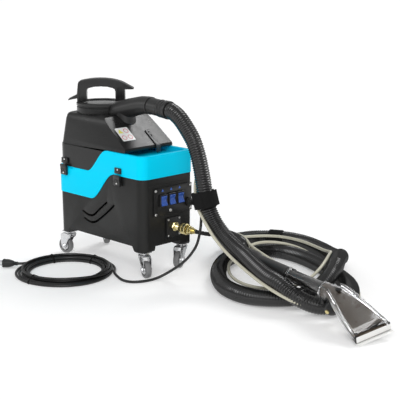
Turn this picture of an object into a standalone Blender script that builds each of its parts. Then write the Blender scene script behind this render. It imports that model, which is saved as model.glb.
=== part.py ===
"""Portable heated carpet cleaner with its hose, cords and hand tool.

Metres, +Z up.  The control panel faces -Y and the machine's long side faces -X.
The machine is drawn about x = 0, y = 0 on the floor and the whole object is
moved at the end so that the origin lies under the centre of machine and tool.
"""

import math

import bmesh
import bpy
import numpy as np
from mathutils import Matrix, Vector

# ---------------------------------------------------------------- dimensions
GAP = 0.0004
WIDTH = 0.200
LENGTH = 0.400
CORNER_R = 0.028
TIGHT_R = 0.014
FOOT_Z = 0.076
SKIRT_Z = 0.091
SEAM_LOW_Z = 0.206
SEAM_HIGH_Z = 0.294
BLUE_REAR_Z = 0.290
BLUE_FRONT_Z = 0.362
BULGE_Z = 0.358
TANK_TOP_Z = 0.455
NECK_Y = 0.099
NECK_R = 0.076
LID_Z = 0.472
HANDLE_TOP_Z = 0.558
HANDLE_TURN = 45.0
HOSE_R = 0.024
LINE_R = 0.0045
STUB = 0.006
CORD_R = 0.004
WHEEL_R = 0.0254
CASTER_X = 0.076
CASTER_Y = 0.176
CASTER_TRAIL = 0.017
COIL_CENTRE = (-0.216, 0.018)
COIL_R = 0.130
COIL_HALF = 0.024
ORIGIN_X = 0.0
ORIGIN_Y = 0.39499
STRAP_X = 0.034
VALVE_Y = 0.172
VALVE_R = 0.0205
VALVE_DROP = 0.044
TOOL_YAW = 13.5
TOOL_ROLL = 9.0
TOOL_LIP = (-0.040, -0.992, 0.0105)
PLUG_YAW = 128.0
PLUG_AT = (-0.2905, 0.1585, 0.0130)
PANEL_THICK = 0.0025
PLATE_THICK = 0.003
GLAND_X = 0.080
GLAND_Z = 0.206
GLAND_SPAN = 0.036
COUPLER_SLEEVE_OUT = 0.037
NIPPLE_SPAN = 0.034

# Lid, elbow and hose: routes are centre lines of the ducts.
LID_BASE = LID_Z + 0.002 + GAP
LID_TOP = LID_BASE + 0.012
ELBOW_ROUTE = [(0, 0.030, 0.460), (0, -0.002, 0.469), (0, -0.036, 0.479), (0, -0.074, 0.4890),
               (0, -0.098, 0.4942), (0, -0.117, 0.4956), (0, -0.1293, 0.4950)]
ELBOW_RADII = (0.0310, 0.0305, 0.0290, 0.0275, 0.0268, 0.0265)
FOOT_CENTRE_Y = -0.014
CUFF_END = (0.0, -0.208, 0.4895)
HOSE_ROUTE = [
    (0.000, -0.2100, 0.4892), (0.000, -0.240, 0.479), (0.000, -0.275, 0.450), (0.000, -0.308, 0.412),
    (0.000, -0.332, 0.358), (0.001, -0.346, 0.300), (0.005, -0.354, 0.250), (0.009, -0.370, 0.205),
    (0.013, -0.400, 0.165), (0.014, -0.440, 0.137), (0.008, -0.495, 0.115), (-0.008, -0.555, 0.097),
    (-0.019, -0.605, 0.084), (-0.023, -0.648, 0.0765), (-0.018, -0.700, 0.054), (0.004, -0.748, 0.030),
    (0.055, -0.780, 0.0245), (0.135, -0.770, 0.0245), (0.210, -0.718, 0.0245), (0.262, -0.645, 0.0245),
    (0.298, -0.570, 0.0245), (0.328, -0.495, 0.0245), (0.350, -0.420, 0.0245), (0.354, -0.345, 0.0245),
    (0.325, -0.288, 0.0245), (0.258, -0.262, 0.0245), (0.170, -0.280, 0.0245), (0.085, -0.330, 0.0245),
    (0.010, -0.402, 0.0245), (-0.034, -0.468, 0.0245), (-0.050, -0.530, 0.0245), (-0.045, -0.586, 0.0245),
    (-0.016, -0.635, 0.0245), (0.032, -0.668, 0.0250), (0.088, -0.688, 0.0340), (0.140, -0.690, 0.0560),
    (0.195, -0.674, 0.0760), (0.252, -0.638, 0.0800), (0.312, -0.600, 0.0690), (0.372, -0.552, 0.0450),
    (0.425, -0.482, 0.0270), (0.464, -0.398, 0.0245), (0.484, -0.312, 0.0245), (0.472, -0.232, 0.0245),
    (0.425, -0.172, 0.0245), (0.356, -0.149, 0.0245), (0.288, -0.162, 0.0330), (0.240, -0.196, 0.0560),
    (0.206, -0.245, 0.0780), (0.176, -0.305, 0.0860), (0.144, -0.362, 0.0870),
]

# Hand tool, along its own Y axis from the lip back to the hose.
TOOL_END_Y = 0.555
TOOL_AXIS_Z = 0.075
TUBE_START = 0.190 + GAP
TUBE_SPAN = 0.160
GRIP_START = TUBE_START + TUBE_SPAN + GAP

# Front face: panel, rockers and the quick coupler.
FACE_Y = -LENGTH / 2 - GAP
ROCKER_X = (-0.024, 0.010, 0.044)
ROCKER_Z = 0.226
BEZEL_Y = FACE_Y - PANEL_THICK - GAP
COUPLER_X = 0.020
COUPLER_Y = FACE_Y - PLATE_THICK - GAP
COUPLER_Z = 0.141
COUPLER_NECK = 0.060
NIPPLE_END = COUPLER_Y - COUPLER_NECK - GAP - NIPPLE_SPAN
SLEEVE_END = (0.0660, -0.3510, 0.1350)
SLEEVE_AIM = (0.94, -0.34, 0.02)

# The solution line rides against the hose: (share of hose run, angle from the right side).
LINE_LEAVES = 0.106
LINE_ANGLES = ((0.0, -40.0), (0.10, -40.0), (0.16, -20.0), (0.36, -18.0), (0.46, 150.0), (1.0, 150.0))
LINE_RISE = [(0.0810, -0.3510, 0.1410), (0.0850, -0.3400, 0.1620), (0.0760, -0.3210, 0.1950),
             (0.0660, -0.3130, 0.2350), (0.0600, -0.3130, 0.2800), (0.0500, -0.3180, 0.3120),
             (0.0330, -0.3160, 0.3300), (0.0130, -0.3140, 0.3240), (0.0010, -0.3155, 0.2990),
             (-0.0065, -0.3208, 0.2680), (-0.0065, -0.3262, 0.2450), (-0.0072, -0.3330, 0.2220)]

WRAP_CENTRE = (0.005, -0.354, 0.250)
WRAP_AXIS = (-0.08, 0.24, 0.967)
# Rounds the wrap is pulled tight over, about its own centre: hose, power cord, solution line.
WRAP_ROUNDS = ((0.0, 0.0, 0.0262), (0.0118, 0.0285, 0.0072), (-0.0115, 0.0290, 0.0086))

# Power cord: gland, arch behind the hose, wrap, down to the floor and along to its coil.
CORD_ROUTE = [
    (GLAND_X, FACE_Y - PANEL_THICK - GAP - GLAND_SPAN - 0.0005, GLAND_Z), (GLAND_X, -0.2520, GLAND_Z),
    (0.0795, -0.2700, 0.2130), (0.0785, -0.2805, 0.2330), (0.0780, -0.2838, 0.2670),
    (0.0700, -0.2885, 0.2940), (0.0490, -0.3020, 0.3060), (0.0280, -0.3160, 0.2960),
    (0.0190, -0.3215, 0.2790), (0.0176, -0.3235, 0.2660), (0.0162, -0.3262, 0.2450),
    (0.0130, -0.3300, 0.2230), (0.0050, -0.3350, 0.2000), (-0.0010, -0.3390, 0.1750),
    (-0.0080, -0.3410, 0.1480), (-0.0150, -0.3370, 0.1180), (-0.0180, -0.3250, 0.0960),
    (-0.0230, -0.2950, 0.0610), (-0.0420, -0.2550, 0.0260), (-0.0770, -0.2310, 0.0060),
    (-0.1200, -0.2220, 0.0043), (-0.1480, -0.2040, 0.0043), (-0.1560, -0.1760, 0.0060),
    (-0.1480, -0.1430, 0.0115), (-0.1337, -0.1137, 0.0145),
]


PARTS = None
CUTTERS = None
MATERIALS = {}


# ------------------------------------------------------------------- helpers
def clear_scene():
    for obj in list(bpy.data.objects):
        bpy.data.objects.remove(obj, do_unlink=True)


def new_collection(name):
    col = bpy.data.collections.new(name)
    bpy.context.scene.collection.children.link(col)
    return col


def material(name, colour, rough=0.5, metal=0.0, clear=0.0):
    mat = bpy.data.materials.new(name)
    mat.use_nodes = True
    bsdf = mat.node_tree.nodes["Principled BSDF"]
    bsdf.inputs["Base Color"].default_value = (*colour, 1.0)
    bsdf.inputs["Roughness"].default_value = rough
    bsdf.inputs["Metallic"].default_value = metal
    bsdf.inputs["Transmission Weight"].default_value = clear
    MATERIALS[name] = mat


def add_object(name, bm, mat, smooth=True, cutter=False):
    bmesh.ops.recalc_face_normals(bm, faces=bm.faces)
    mesh = bpy.data.meshes.new(name)
    bm.to_mesh(mesh)
    bm.free()
    obj = bpy.data.objects.new(name, mesh)
    if cutter:
        CUTTERS.objects.link(obj)
        obj.hide_render = True
        obj.display_type = "WIRE"
    else:
        PARTS.objects.link(obj)
        mesh.materials.append(MATERIALS[mat])
    if smooth:
        mesh.shade_smooth()
        mesh.set_sharp_from_angle(angle=math.radians(35))
    return obj


def bevel_edges(obj, width, segments=2, angle=30):
    mod = obj.modifiers.new("edge", "BEVEL")
    mod.width = width
    mod.segments = segments
    mod.limit_method = "ANGLE"
    mod.angle_limit = math.radians(angle)
    return mod


def cut(obj, cutter, how="DIFFERENCE"):
    mod = obj.modifiers.new(how.lower(), "BOOLEAN")
    mod.operation = how
    mod.solver = "EXACT"
    mod.object = cutter
    return mod


def prism_bm(outline, axis, low, high):
    """Closed outline drawn in the plane across `axis`, pulled from low to high."""
    bm = bmesh.new()
    rings = []
    for level in (low, high):
        ring = []
        for a, b in outline:
            if axis == "X":
                co = (level, a, b)
            elif axis == "Y":
                co = (a, level, b)
            else:
                co = (a, b, level)
            ring.append(bm.verts.new(co))
        rings.append(ring)
    count = len(outline)
    for i in range(count):
        j = (i + 1) % count
        bm.faces.new((rings[0][i], rings[0][j], rings[1][j], rings[1][i]))
    bm.faces.new(rings[0])
    bm.faces.new(rings[1])
    return bm


def loft_bm(rings, closed=False):
    """Skin through rings with equal point counts; ends capped unless closed."""
    bm = bmesh.new()
    rows = [[bm.verts.new(p) for p in ring] for ring in rings]
    count = len(rows[0])
    last = len(rows) if closed else len(rows) - 1
    for r in range(last):
        low = rows[r]
        high = rows[(r + 1) % len(rows)]
        for i in range(count):
            j = (i + 1) % count
            bm.faces.new((low[i], low[j], high[j], high[i]))
    if not closed:
        bm.faces.new(rows[0])
        bm.faces.new(rows[-1])
    return bm


def rounded_rect(half_x, half_y, radius, steps=5, centre=(0.0, 0.0), tight=None):
    """Outline with round corners; `tight` is the radius of the +X, -Y corner alone."""
    points = []
    corners = ((1, 1, 0), (-1, 1, 90), (-1, -1, 180), (1, -1, 270))
    for sx, sy, start in corners:
        r = tight if tight and start == 270 else radius
        cx = centre[0] + sx * (half_x - r)
        cy = centre[1] + sy * (half_y - r)
        for k in range(steps + 1):
            t = math.radians(start + 90.0 * k / steps)
            points.append((cx + r * math.cos(t), cy + r * math.sin(t)))
    return points


def box_bm(size, centre, radius=0.0):
    half = [s / 2 for s in size]
    if radius > 0:
        outline = rounded_rect(half[0], half[1], radius, 3, (centre[0], centre[1]))
        return prism_bm(outline, "Z", centre[2] - half[2], centre[2] + half[2])
    bm = bmesh.new()
    bmesh.ops.create_cube(bm, size=1.0)
    bmesh.ops.scale(bm, vec=size, verts=bm.verts)
    bmesh.ops.translate(bm, vec=centre, verts=bm.verts)
    return bm


def turned_bm(profile, segments=28, bore=False):
    """Profile of (radius, height) pairs turned about Z; bore keeps it a ring."""
    rings = []
    for radius, height in profile:
        ring = []
        for k in range(segments):
            t = 2 * math.pi * k / segments
            ring.append((radius * math.cos(t), radius * math.sin(t), height))
        rings.append(ring)
    return loft_bm(rings, closed=bore)


def moved(bm, matrix):
    bmesh.ops.transform(bm, matrix=matrix, verts=bm.verts)
    return bm


def along(axis, centre):
    """Matrix that stands +Z along `axis` with its zero at `centre`."""
    turn = Vector((0, 0, 1)).rotation_difference(Vector(axis)).to_matrix().to_4x4()
    return Matrix.Translation(centre) @ turn


def union_of(name, meshes, mat):
    """One body made of several overlapping closed shapes."""
    base = add_object(name, meshes[0], mat)
    for index, bm in enumerate(meshes[1:]):
        piece = add_object("join_" + name + str(index), bm, mat, cutter=True)
        cut(base, piece, "UNION")
    return base


def smooth_route(points, spacing):
    """Centripetal spline through hand-placed points, read at even spacing."""
    pts = [np.array(p, dtype=float) for p in points]
    pts = [2 * pts[0] - pts[1]] + pts + [2 * pts[-1] - pts[-2]]
    dense = []
    for i in range(1, len(pts) - 2):
        p0, p1, p2, p3 = pts[i - 1:i + 3]
        t = [0.0]
        for a, b in ((p0, p1), (p1, p2), (p2, p3)):
            t.append(t[-1] + max(np.linalg.norm(b - a), 1e-6) ** 0.5)
        for u in np.linspace(t[1], t[2], 24, endpoint=False):
            a1 = p0 + (p1 - p0) * (u - t[0]) / (t[1] - t[0])
            a2 = p1 + (p2 - p1) * (u - t[1]) / (t[2] - t[1])
            a3 = p2 + (p3 - p2) * (u - t[2]) / (t[3] - t[2])
            b1 = a1 + (a2 - a1) * (u - t[0]) / (t[2] - t[0])
            b2 = a2 + (a3 - a2) * (u - t[1]) / (t[3] - t[1])
            dense.append(b1 + (b2 - b1) * (u - t[1]) / (t[2] - t[1]))
    dense.append(pts[-2])
    dense = np.array(dense)
    steps = np.linalg.norm(np.diff(dense, axis=0), axis=1)
    run = np.concatenate(([0.0], np.cumsum(steps)))
    count = max(int(round(run[-1] / spacing)), 2)
    marks = np.linspace(0.0, run[-1], count + 1)
    return np.stack([np.interp(marks, run, dense[:, k]) for k in range(3)], axis=1)


def tube(name, path, radius, mat, resolution):
    """Round cord along a path: a bevelled curve turned into one closed mesh."""
    curve = bpy.data.curves.new(name, "CURVE")
    curve.dimensions = "3D"
    curve.bevel_depth = radius
    curve.bevel_resolution = resolution
    curve.use_fill_caps = True
    spline = curve.splines.new("POLY")
    spline.points.add(len(path) - 1)
    for point, co in zip(spline.points, path):
        point.co = (*co, 1.0)
    holder = bpy.data.objects.new(name + "_curve", curve)
    bpy.context.scene.collection.objects.link(holder)
    graph = bpy.context.evaluated_depsgraph_get()
    mesh = bpy.data.meshes.new_from_object(holder.evaluated_get(graph))
    bpy.data.objects.remove(holder, do_unlink=True)
    bm = bmesh.new()
    bm.from_mesh(mesh)
    bmesh.ops.remove_doubles(bm, verts=bm.verts, dist=0.00005)
    return add_object(name, bm, mat)


# -------------------------------------------------------------- machine body
def seam_z(y, low, high, y_low, y_high):
    """Height of an S-shaped seam at station y."""
    t = min(max((y_low - y) / (y_low - y_high), 0.0), 1.0)
    t = t * t * (3 - 2 * t)
    return low + (high - low) * t


def base_seam(y):
    return seam_z(y, SEAM_LOW_Z, SEAM_HIGH_Z, 0.036, -0.072)


def blue_top(y):
    return seam_z(y, BLUE_REAR_Z, BLUE_FRONT_Z, 0.052, -0.040)


def stations():
    ys = [-0.26, -0.10]
    ys += [-0.080 + 0.0115 * k for k in range(14)]
    ys += [0.100, 0.26]
    return ys


def column(half_x, half_y, radius, low, high, taper=0.0, tight=None):
    bottom = rounded_rect(half_x - taper, half_y - taper, radius, tight=tight)
    top = rounded_rect(half_x, half_y, radius, tight=tight)
    return loft_bm([[(x, y, low) for x, y in bottom], [(x, y, high) for x, y in top]])


def base_housing():
    """Black moulded lower housing: open underneath, feet at the corners, six vents."""
    body = add_object("base_housing", column(WIDTH / 2, LENGTH / 2, CORNER_R, 0.05, 0.36, 0.002, TIGHT_R),
                      "black_plastic")
    outline = [(y, base_seam(y)) for y in stations()]
    outline += [(0.26, SKIRT_Z), (0.199, SKIRT_Z), (0.196, FOOT_Z), (0.158, FOOT_Z)]
    outline += [(0.150, SKIRT_Z), (-0.150, SKIRT_Z), (-0.158, FOOT_Z), (-0.196, FOOT_Z)]
    outline += [(-0.199, SKIRT_Z), (-0.26, SKIRT_Z)]
    side = add_object("base_side_profile", prism_bm(outline, "X", -0.15, 0.15), None, False, True)
    cut(body, side, "INTERSECT")
    channel = [(-0.056, 0.04), (0.056, 0.04), (0.050, SKIRT_Z), (-0.050, SKIRT_Z)]
    gap = add_object("foot_channel", prism_bm(channel, "Y", -0.3, 0.3), None, False, True)
    cut(body, gap)
    cavity = [(0.188, 0.10), (0.188, 0.196), (0.050, 0.196), (-0.086, 0.282)]
    cavity += [(-0.190, 0.282), (-0.190, 0.10)]
    hollow = add_object("base_hollow", prism_bm(cavity, "X", -0.092, 0.092), None, False, True)
    bevel_edges(hollow, 0.006, 1)
    cut(body, hollow)
    mouth = add_object("base_mouth", box_bm((0.150, 0.280, 0.05), (0, 0, 0.088), 0.01),
                       None, False, True)
    cut(body, mouth)
    for side_x in (-1, 1):
        for index, (shift, drop) in enumerate(((0.0, 0.0), (0.030, 0.013))):
            slot = vent_slot(side_x, shift, drop)
            tool = add_object("vent_cut_" + str(index) + ("_r" if side_x > 0 else "_l"),
                              slot, None, False, True)
            cut(body, tool)
    return body


def vent_slot(side_x, shift, drop):
    """A swept vent: short flat run, then a rising tail, through the side wall."""
    centre = [(0.078, 0.160), (0.052, 0.152), (0.030, 0.154), (-0.002, 0.178), (-0.037, 0.204)]
    if shift:
        centre = [(0.070, 0.138), (0.046, 0.131), (0.022, 0.134), (-0.020, 0.160), (-0.070, 0.200)]
    top = [(y, z + 0.0032) for y, z in centre]
    low = [(y, z - 0.0032) for y, z in reversed(centre)]
    inner = side_x * 0.085
    outer = side_x * 0.110
    return prism_bm(top + low, "X", min(inner, outer), max(inner, outer))


def base_plate():
    """Steel floor that closes the housing and carries the motor, heater and pump."""
    bm = box_bm((0.1490, 0.2790, 0.003), (0, 0, SKIRT_Z + 0.0035), 0.009)
    return add_object("base_plate", bm, "zinc")


def solution_tank():
    """Blue middle tank: hollow, with S-shaped seams and a well for the tank above."""
    body = add_object("solution_tank", column(0.1012, 0.2012, 0.029, 0.15, 0.42, 0.0, TIGHT_R + 0.001),
                      "blue_plastic")
    outline = [(y, blue_top(y)) for y in stations()]
    outline += [(y, base_seam(y) + GAP) for y in reversed(stations())]
    side = add_object("blue_side_profile", prism_bm(outline, "X", -0.15, 0.15), None, False, True)
    cut(body, side, "INTERSECT")
    well = column(0.0885, 0.074, 0.020, 0.350, 0.40)
    moved(well, Matrix.Translation((0, -0.1130, 0)))
    cut(body, add_object("blue_well", well, None, False, True))
    rear = [(0.185, 0.222), (0.185, 0.275), (0.062, 0.275), (-0.060, 0.338)]
    rear += [(-0.182, 0.338), (-0.182, 0.308), (-0.086, 0.308), (0.046, 0.222)]
    hollow = add_object("blue_hollow", prism_bm(rear, "X", -0.092, 0.092), None, False, True)
    cut(body, hollow)
    fill = moved(turned_bm([(0.022, 0.0), (0.022, 0.07)], 24),
                 Matrix.Translation((0.045, -0.140, 0.30)))
    cut(body, add_object("blue_fill_mouth", fill, None, False, True))
    bevel_edges(body, 0.003, 2, 50)
    return body


def recovery_tank():
    """Black upper tank: wide lower bulge, narrower dome, sloped front, round neck."""
    bulge = column(0.0996, 0.1996, 0.029, 0.24, BULGE_Z)
    body = add_object("recovery_tank", bulge, "black_plastic")
    outline = [(y, blue_top(y) + GAP) for y in stations() if y > -0.03]
    outline += [(0.26, BULGE_Z), (-0.026, BULGE_Z)]
    side = add_object("tank_side_profile", prism_bm(outline, "X", -0.15, 0.15), None, False, True)
    cut(body, side, "INTERSECT")
    dome_rings = []
    for half_x, y_rear, y_front, z, r in ((0.095, 0.190, -0.150, 0.345, 0.022),
                                          (0.093, 0.186, -0.150, 0.375, 0.022),
                                          (0.090, 0.180, -0.150, 0.420, 0.022),
                                          (0.087, 0.177, -0.150, 0.447, 0.024),
                                          (0.079, 0.169, -0.150, TANK_TOP_Z, 0.024)):
        ring = rounded_rect(half_x, (y_rear - y_front) / 2, r, 5, (0, (y_rear + y_front) / 2))
        dome_rings.append([(x, y, z) for x, y in ring])
    dome = add_object("tank_dome", loft_bm(dome_rings), None, True, True)
    slope = [(0.0476, 0.50), (-0.118, 0.3750), (-0.120, 0.3640), (-0.110, 0.3625)]
    slope += [(-0.03, 0.3625), (0.26, 0.352), (0.26, 0.50)]
    facet = add_object("tank_front_slope", prism_bm(slope, "X", -0.15, 0.15), None, False, True)
    bevel_edges(facet, 0.005, 2)
    cut(dome, facet, "INTERSECT")
    cut(body, dome, "UNION")
    neck = moved(turned_bm([(NECK_R, 0.42), (NECK_R, LID_Z), (NECK_R - 0.002, LID_Z + 0.002)], 36),
                 Matrix.Translation((0, NECK_Y, 0)))
    cut(body, add_object("tank_neck", neck, None, True, True), "UNION")
    room = [(0.168, 0.300), (0.168, 0.440), (-0.005, 0.440), (-0.090, 0.373), (-0.026, 0.369)]
    room += [(0.045, 0.300)]
    hollow = add_object("tank_hollow", prism_bm(room, "X", -0.072, 0.072), None, False, True)
    bevel_edges(hollow, 0.006, 1)
    cut(body, hollow)
    mouth = moved(turned_bm([(0.060, 0.42), (0.060, 0.50)], 32), Matrix.Translation((0, NECK_Y, 0)))
    cut(body, add_object("tank_mouth", mouth, None, True, True))
    port = moved(turned_bm([(0.015, -0.03), (0.015, 0.06)], 24),
                 along((0, -0.28, 0.96), (0, FOOT_CENTRE_Y - 0.002, 0.425)))
    cut(body, add_object("tank_inlet", port, None, True, True))
    return body


# ------------------------------------------------------------ lid and handle


def lid_ring():
    profile = [(0.056, LID_BASE), (NECK_R, LID_BASE), (NECK_R + 0.001, LID_BASE + 0.003)]
    profile += [(NECK_R + 0.001, LID_BASE + 0.009), (NECK_R - 0.002, LID_TOP), (0.056, LID_TOP)]
    bm = moved(turned_bm(profile, 40, True), Matrix.Translation((0, NECK_Y, 0)))
    return add_object("lid_ring", bm, "black_plastic")


def lid_window():
    profile = [(0.0556, LID_BASE + 0.002), (0.0556, LID_TOP - 0.003), (0.052, LID_TOP - 0.0015)]
    bm = turned_bm(profile, 36)
    return add_object("lid_window", moved(bm, Matrix.Translation((0, NECK_Y, 0))), "clear_plastic")


def handle():
    """Arched carry handle on the lid, with a tail behind and a peaked tab in front."""
    foot = LID_TOP + GAP
    top = HANDLE_TOP_Z
    outer = [(0.073, foot), (0.0735, foot + 0.010), (0.101, foot + 0.0045), (0.099, foot + 0.009)]
    outer += [(0.074, foot + 0.021), (0.070, top - 0.014), (0.064, top - 0.0085), (0.030, top - 0.002)]
    outer += [(0.0, top), (-0.030, top - 0.0025), (-0.060, top - 0.0095), (-0.100, top - 0.0300)]
    outer += [(-0.1005, top - 0.0330), (-0.073, top - 0.0335), (-0.0735, foot)]
    place = Matrix.Translation((0, NECK_Y, 0)) @ Matrix.Rotation(math.radians(HANDLE_TURN), 4, "Z")
    body = add_object("handle", moved(prism_bm(outer, "X", -0.016, 0.016), place), "black_plastic")
    inner = [(0.0445, foot - 0.01), (0.0445, top - 0.036), (0.037, top - 0.029), (0.0, top - 0.0245)]
    inner += [(-0.037, top - 0.029), (-0.0445, top - 0.036), (-0.0445, foot - 0.01)]
    hole = add_object("handle_gap", moved(prism_bm(inner, "X", -0.05, 0.05), place), None, False, True)
    cut(body, hole)
    bevel_edges(body, 0.0035, 2)
    return body


# -------------------------------------------------------- hose and its elbow


def swept_bm(path, radii, segments=20):
    """Round body of changing radius along a path."""
    pts = [Vector([float(c) for c in p]) for p in path]
    rings = []
    for i, point in enumerate(pts):
        ahead = pts[min(i + 1, len(pts) - 1)]
        behind = pts[max(i - 1, 0)]
        axis = (ahead - behind).normalized()
        side = axis.cross(Vector((1, 0, 0))).normalized()
        other = axis.cross(side)
        ring = []
        for k in range(segments):
            t = 2 * math.pi * k / segments
            ring.append(point + float(radii[i]) * (math.cos(t) * side + math.sin(t) * other))
        rings.append(ring)
    return loft_bm(rings)


def hose_elbow():
    """Low duct that leaves the neck, stands on an oval foot and ends level."""
    path = smooth_route(ELBOW_ROUTE, 0.012)
    grown = np.interp(np.linspace(0, 1, len(path)), np.linspace(0, 1, len(ELBOW_RADII)), ELBOW_RADII)
    body = add_object("hose_elbow", swept_bm(path, grown, 24), "black_plastic")
    rows = []
    for z, half_x, half_y in ((0.405, 0.034, 0.034), (0.440, 0.0315, 0.031), (0.472, 0.0275, 0.027)):
        turns = [2 * math.pi * (k + 0.3) / 24 for k in range(24)]
        rows.append([(half_x * math.cos(t), FOOT_CENTRE_Y + half_y * math.sin(t), z) for t in turns])
    cut(body, add_object("elbow_foot", loft_bm(rows), None, False, True), "UNION")
    keep = [(-0.20, 0.52), (-0.20, 0.392), (-0.1190, 0.3749 + GAP), (-0.0150, 0.4535 + GAP),
            (-0.0135, TANK_TOP_Z + GAP), (0.05, TANK_TOP_Z + GAP), (0.05, 0.52)]
    over = add_object("elbow_above_tank", prism_bm(keep, "X", -0.1, 0.1), None, False, True)
    cut(body, over, "INTERSECT")
    neck = moved(turned_bm([(0.0785, 0.40), (0.0785, 0.52)], 36), Matrix.Translation((0, NECK_Y, 0)))
    cut(body, add_object("elbow_neck_clear", neck, None, False, True))
    return body


def hose_cuff():
    """Straight cuff screwed on the hose end, with three small ridges."""
    start = Vector((0, -0.1300, 0.4948))
    end = Vector(CUFF_END)
    axis = (end - start).normalized()
    span = (end - start).length
    profile = [(0.0245, 0.0), (0.0245, span * 0.55), (0.0262, span * 0.60), (0.0262, span * 0.66)]
    profile += [(0.0245, span * 0.70), (0.0262, span * 0.76), (0.0262, span * 0.84)]
    profile += [(0.0270, span * 0.88), (0.0270, span)]
    return add_object("hose_cuff", moved(turned_bm(profile, 28), along(axis, start)), "black_plastic")


def tool_matrix():
    turn = Matrix.Rotation(math.radians(-TOOL_YAW), 4, "Z")
    roll = Matrix.Rotation(math.radians(-TOOL_ROLL), 4, "Y")
    return Matrix.Translation(TOOL_LIP) @ turn @ roll


def tool_point(x, y, z):
    return tool_matrix() @ Vector((x, y, z))


def hose_path():
    end = tool_point(0, TOOL_END_Y + GAP * 2, TOOL_AXIS_Z)
    before = tool_point(0, TOOL_END_Y + 0.045, TOOL_AXIS_Z - 0.001)
    points = HOSE_ROUTE + [tuple(before), tuple(end)]
    path = smooth_route(points, 0.042)
    return squared_ends(path, (0.0, -0.08, -0.005), tool_point(0, -1, 0) - tool_point(0, 0, 0))


def squared_ends(path, leaving, arriving):
    """Adds short straight stubs so the end faces stand square to their fittings."""
    out = np.array(leaving) / np.linalg.norm(leaving)
    into = np.array(arriving) / np.linalg.norm(arriving)
    first = path[0] + out * STUB
    last = path[-1] - into * STUB
    return np.vstack([path[:1], first[None], path[1:-1], last[None], path[-1:]])


def vacuum_hose():
    return tube("vacuum_hose", hose_path(), HOSE_R, "hose_plastic", 2)


def riding_path(first, last, spacing):
    """Points beside the hose between two shares of its run."""
    path = smooth_route([tuple(p) for p in hose_path()], 0.012)
    tangent = np.gradient(path, axis=0)
    tangent /= np.linalg.norm(tangent, axis=1)[:, None]
    share = np.linspace(0.0, 1.0, len(path))
    angle = np.interp(share, [a for a, _ in LINE_ANGLES], [b for _, b in LINE_ANGLES])
    out = []
    for point, axis, at, turn in zip(path, tangent, share, np.radians(angle)):
        if at < first or at > last:
            continue
        side = np.cross(axis, (0, 0, 1))
        side /= np.linalg.norm(side)
        up = np.cross(side, axis)
        clear = HOSE_R + LINE_R + (0.0036 if at < 0.38 else 0.0022)
        out.append(point + clear * (math.cos(turn) * side + math.sin(turn) * up))
    return out[::max(int(round(spacing / 0.012)), 1)]


def solution_line():
    """Cream line: from the sleeve up to the wrap, then beside the hose to the valve."""
    riding = [tuple(p) for p in riding_path(LINE_LEAVES, 0.985, 0.036)]
    start = [tuple(Vector(SLEEVE_END) + Vector(SLEEVE_AIM) * GAP * 2)] + LINE_RISE
    axis = TOOL_AXIS_Z
    aim = Vector((0.45, 0.75, 0.48)).normalized()
    ball = Vector((0, VALVE_Y, axis - VALVE_DROP))
    tail = [(0.0310, 0.520, axis + 0.006), (0.0280, 0.430, axis - 0.004), (0.0260, 0.340, axis - 0.008),
            (0.0240, 0.270, axis - 0.010), (0.0215, 0.225, axis - 0.016)]
    tail.append(tuple(ball + aim * 0.032))
    tail.append(tuple(ball + aim * (VALVE_R + 0.0006)))
    ending = [tuple(tool_point(*p)) for p in tail]
    path = smooth_route(start + riding + ending, 0.040)
    square = tool_point(*ball) - tool_point(*(ball + aim))
    path = squared_ends(path, SLEEVE_AIM, square)
    return tube("solution_line", path, LINE_R, "cream_plastic", 1)


def hose_sleeve():
    """Black bend-relief sleeve over the first run of the solution line."""
    path = smooth_route([(COUPLER_X, NIPPLE_END - GAP, COUPLER_Z), (0.0212, -0.3120, 0.1408),
                         (0.0300, -0.3300, 0.1390), (0.0470, -0.3440, 0.1365), SLEEVE_END], 0.012)
    path = squared_ends(path, (0.0, -1.0, 0.0), SLEEVE_AIM)
    return tube("hose_sleeve", path, 0.0062, "black_rubber", 2)


def hull_outline(rounds, grow, steps=36):
    """Outline of a band pulled tight over several round bars."""
    points = []
    for k in range(steps):
        t = 2 * math.pi * (k + 0.5) / steps
        nx, ny = math.cos(t), math.sin(t)
        x, y, r = max(rounds, key=lambda c: c[0] * nx + c[1] * ny + c[2])
        points.append((x + (r + grow) * nx, y + (r + grow) * ny))
    return points


def hose_wrap():
    """Hook-and-loop wrap that gathers hose, cord and line in front of the machine."""
    outer = hull_outline(WRAP_ROUNDS, 0.0020)
    inner = hull_outline(WRAP_ROUNDS, 0.0)
    rings = [[(x, y, level) for x, y in outline]
             for outline, level in ((outer, -0.024), (outer, 0.024), (inner, 0.024), (inner, -0.024))]
    bm = loft_bm(rings, closed=True)
    moved(bm, along(WRAP_AXIS, WRAP_CENTRE))
    return add_object("hose_wrap", bm, "webbing")


# ------------------------------------------------------- front face fittings


def control_panel():
    """Flat panel with three rocker holes, on the front face."""
    bm = box_bm((0.152, 0.0025, 0.084), (0.018, FACE_Y - 0.00125, 0.222))
    body = add_object("control_panel", bm, "panel_plastic")
    for index in range(3):
        hole = box_bm((0.0230, 0.02, 0.0320), (ROCKER_X[index], FACE_Y, ROCKER_Z))
        cut(body, add_object("rocker_hole_" + str(index), hole, None, False, True))
    return body


def rocker_bezel(index, name):
    """Square boot round a rocker; open through its middle."""
    boot = box_bm((0.0285, 0.0075, 0.0375), (ROCKER_X[index], BEZEL_Y - 0.00375, ROCKER_Z))
    body = add_object(name, boot, "black_plastic")
    hole = box_bm((0.0226, 0.04, 0.0316), (ROCKER_X[index], BEZEL_Y, ROCKER_Z))
    cut(body, add_object("hole_" + name, hole, None, False, True))
    return body


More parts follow.
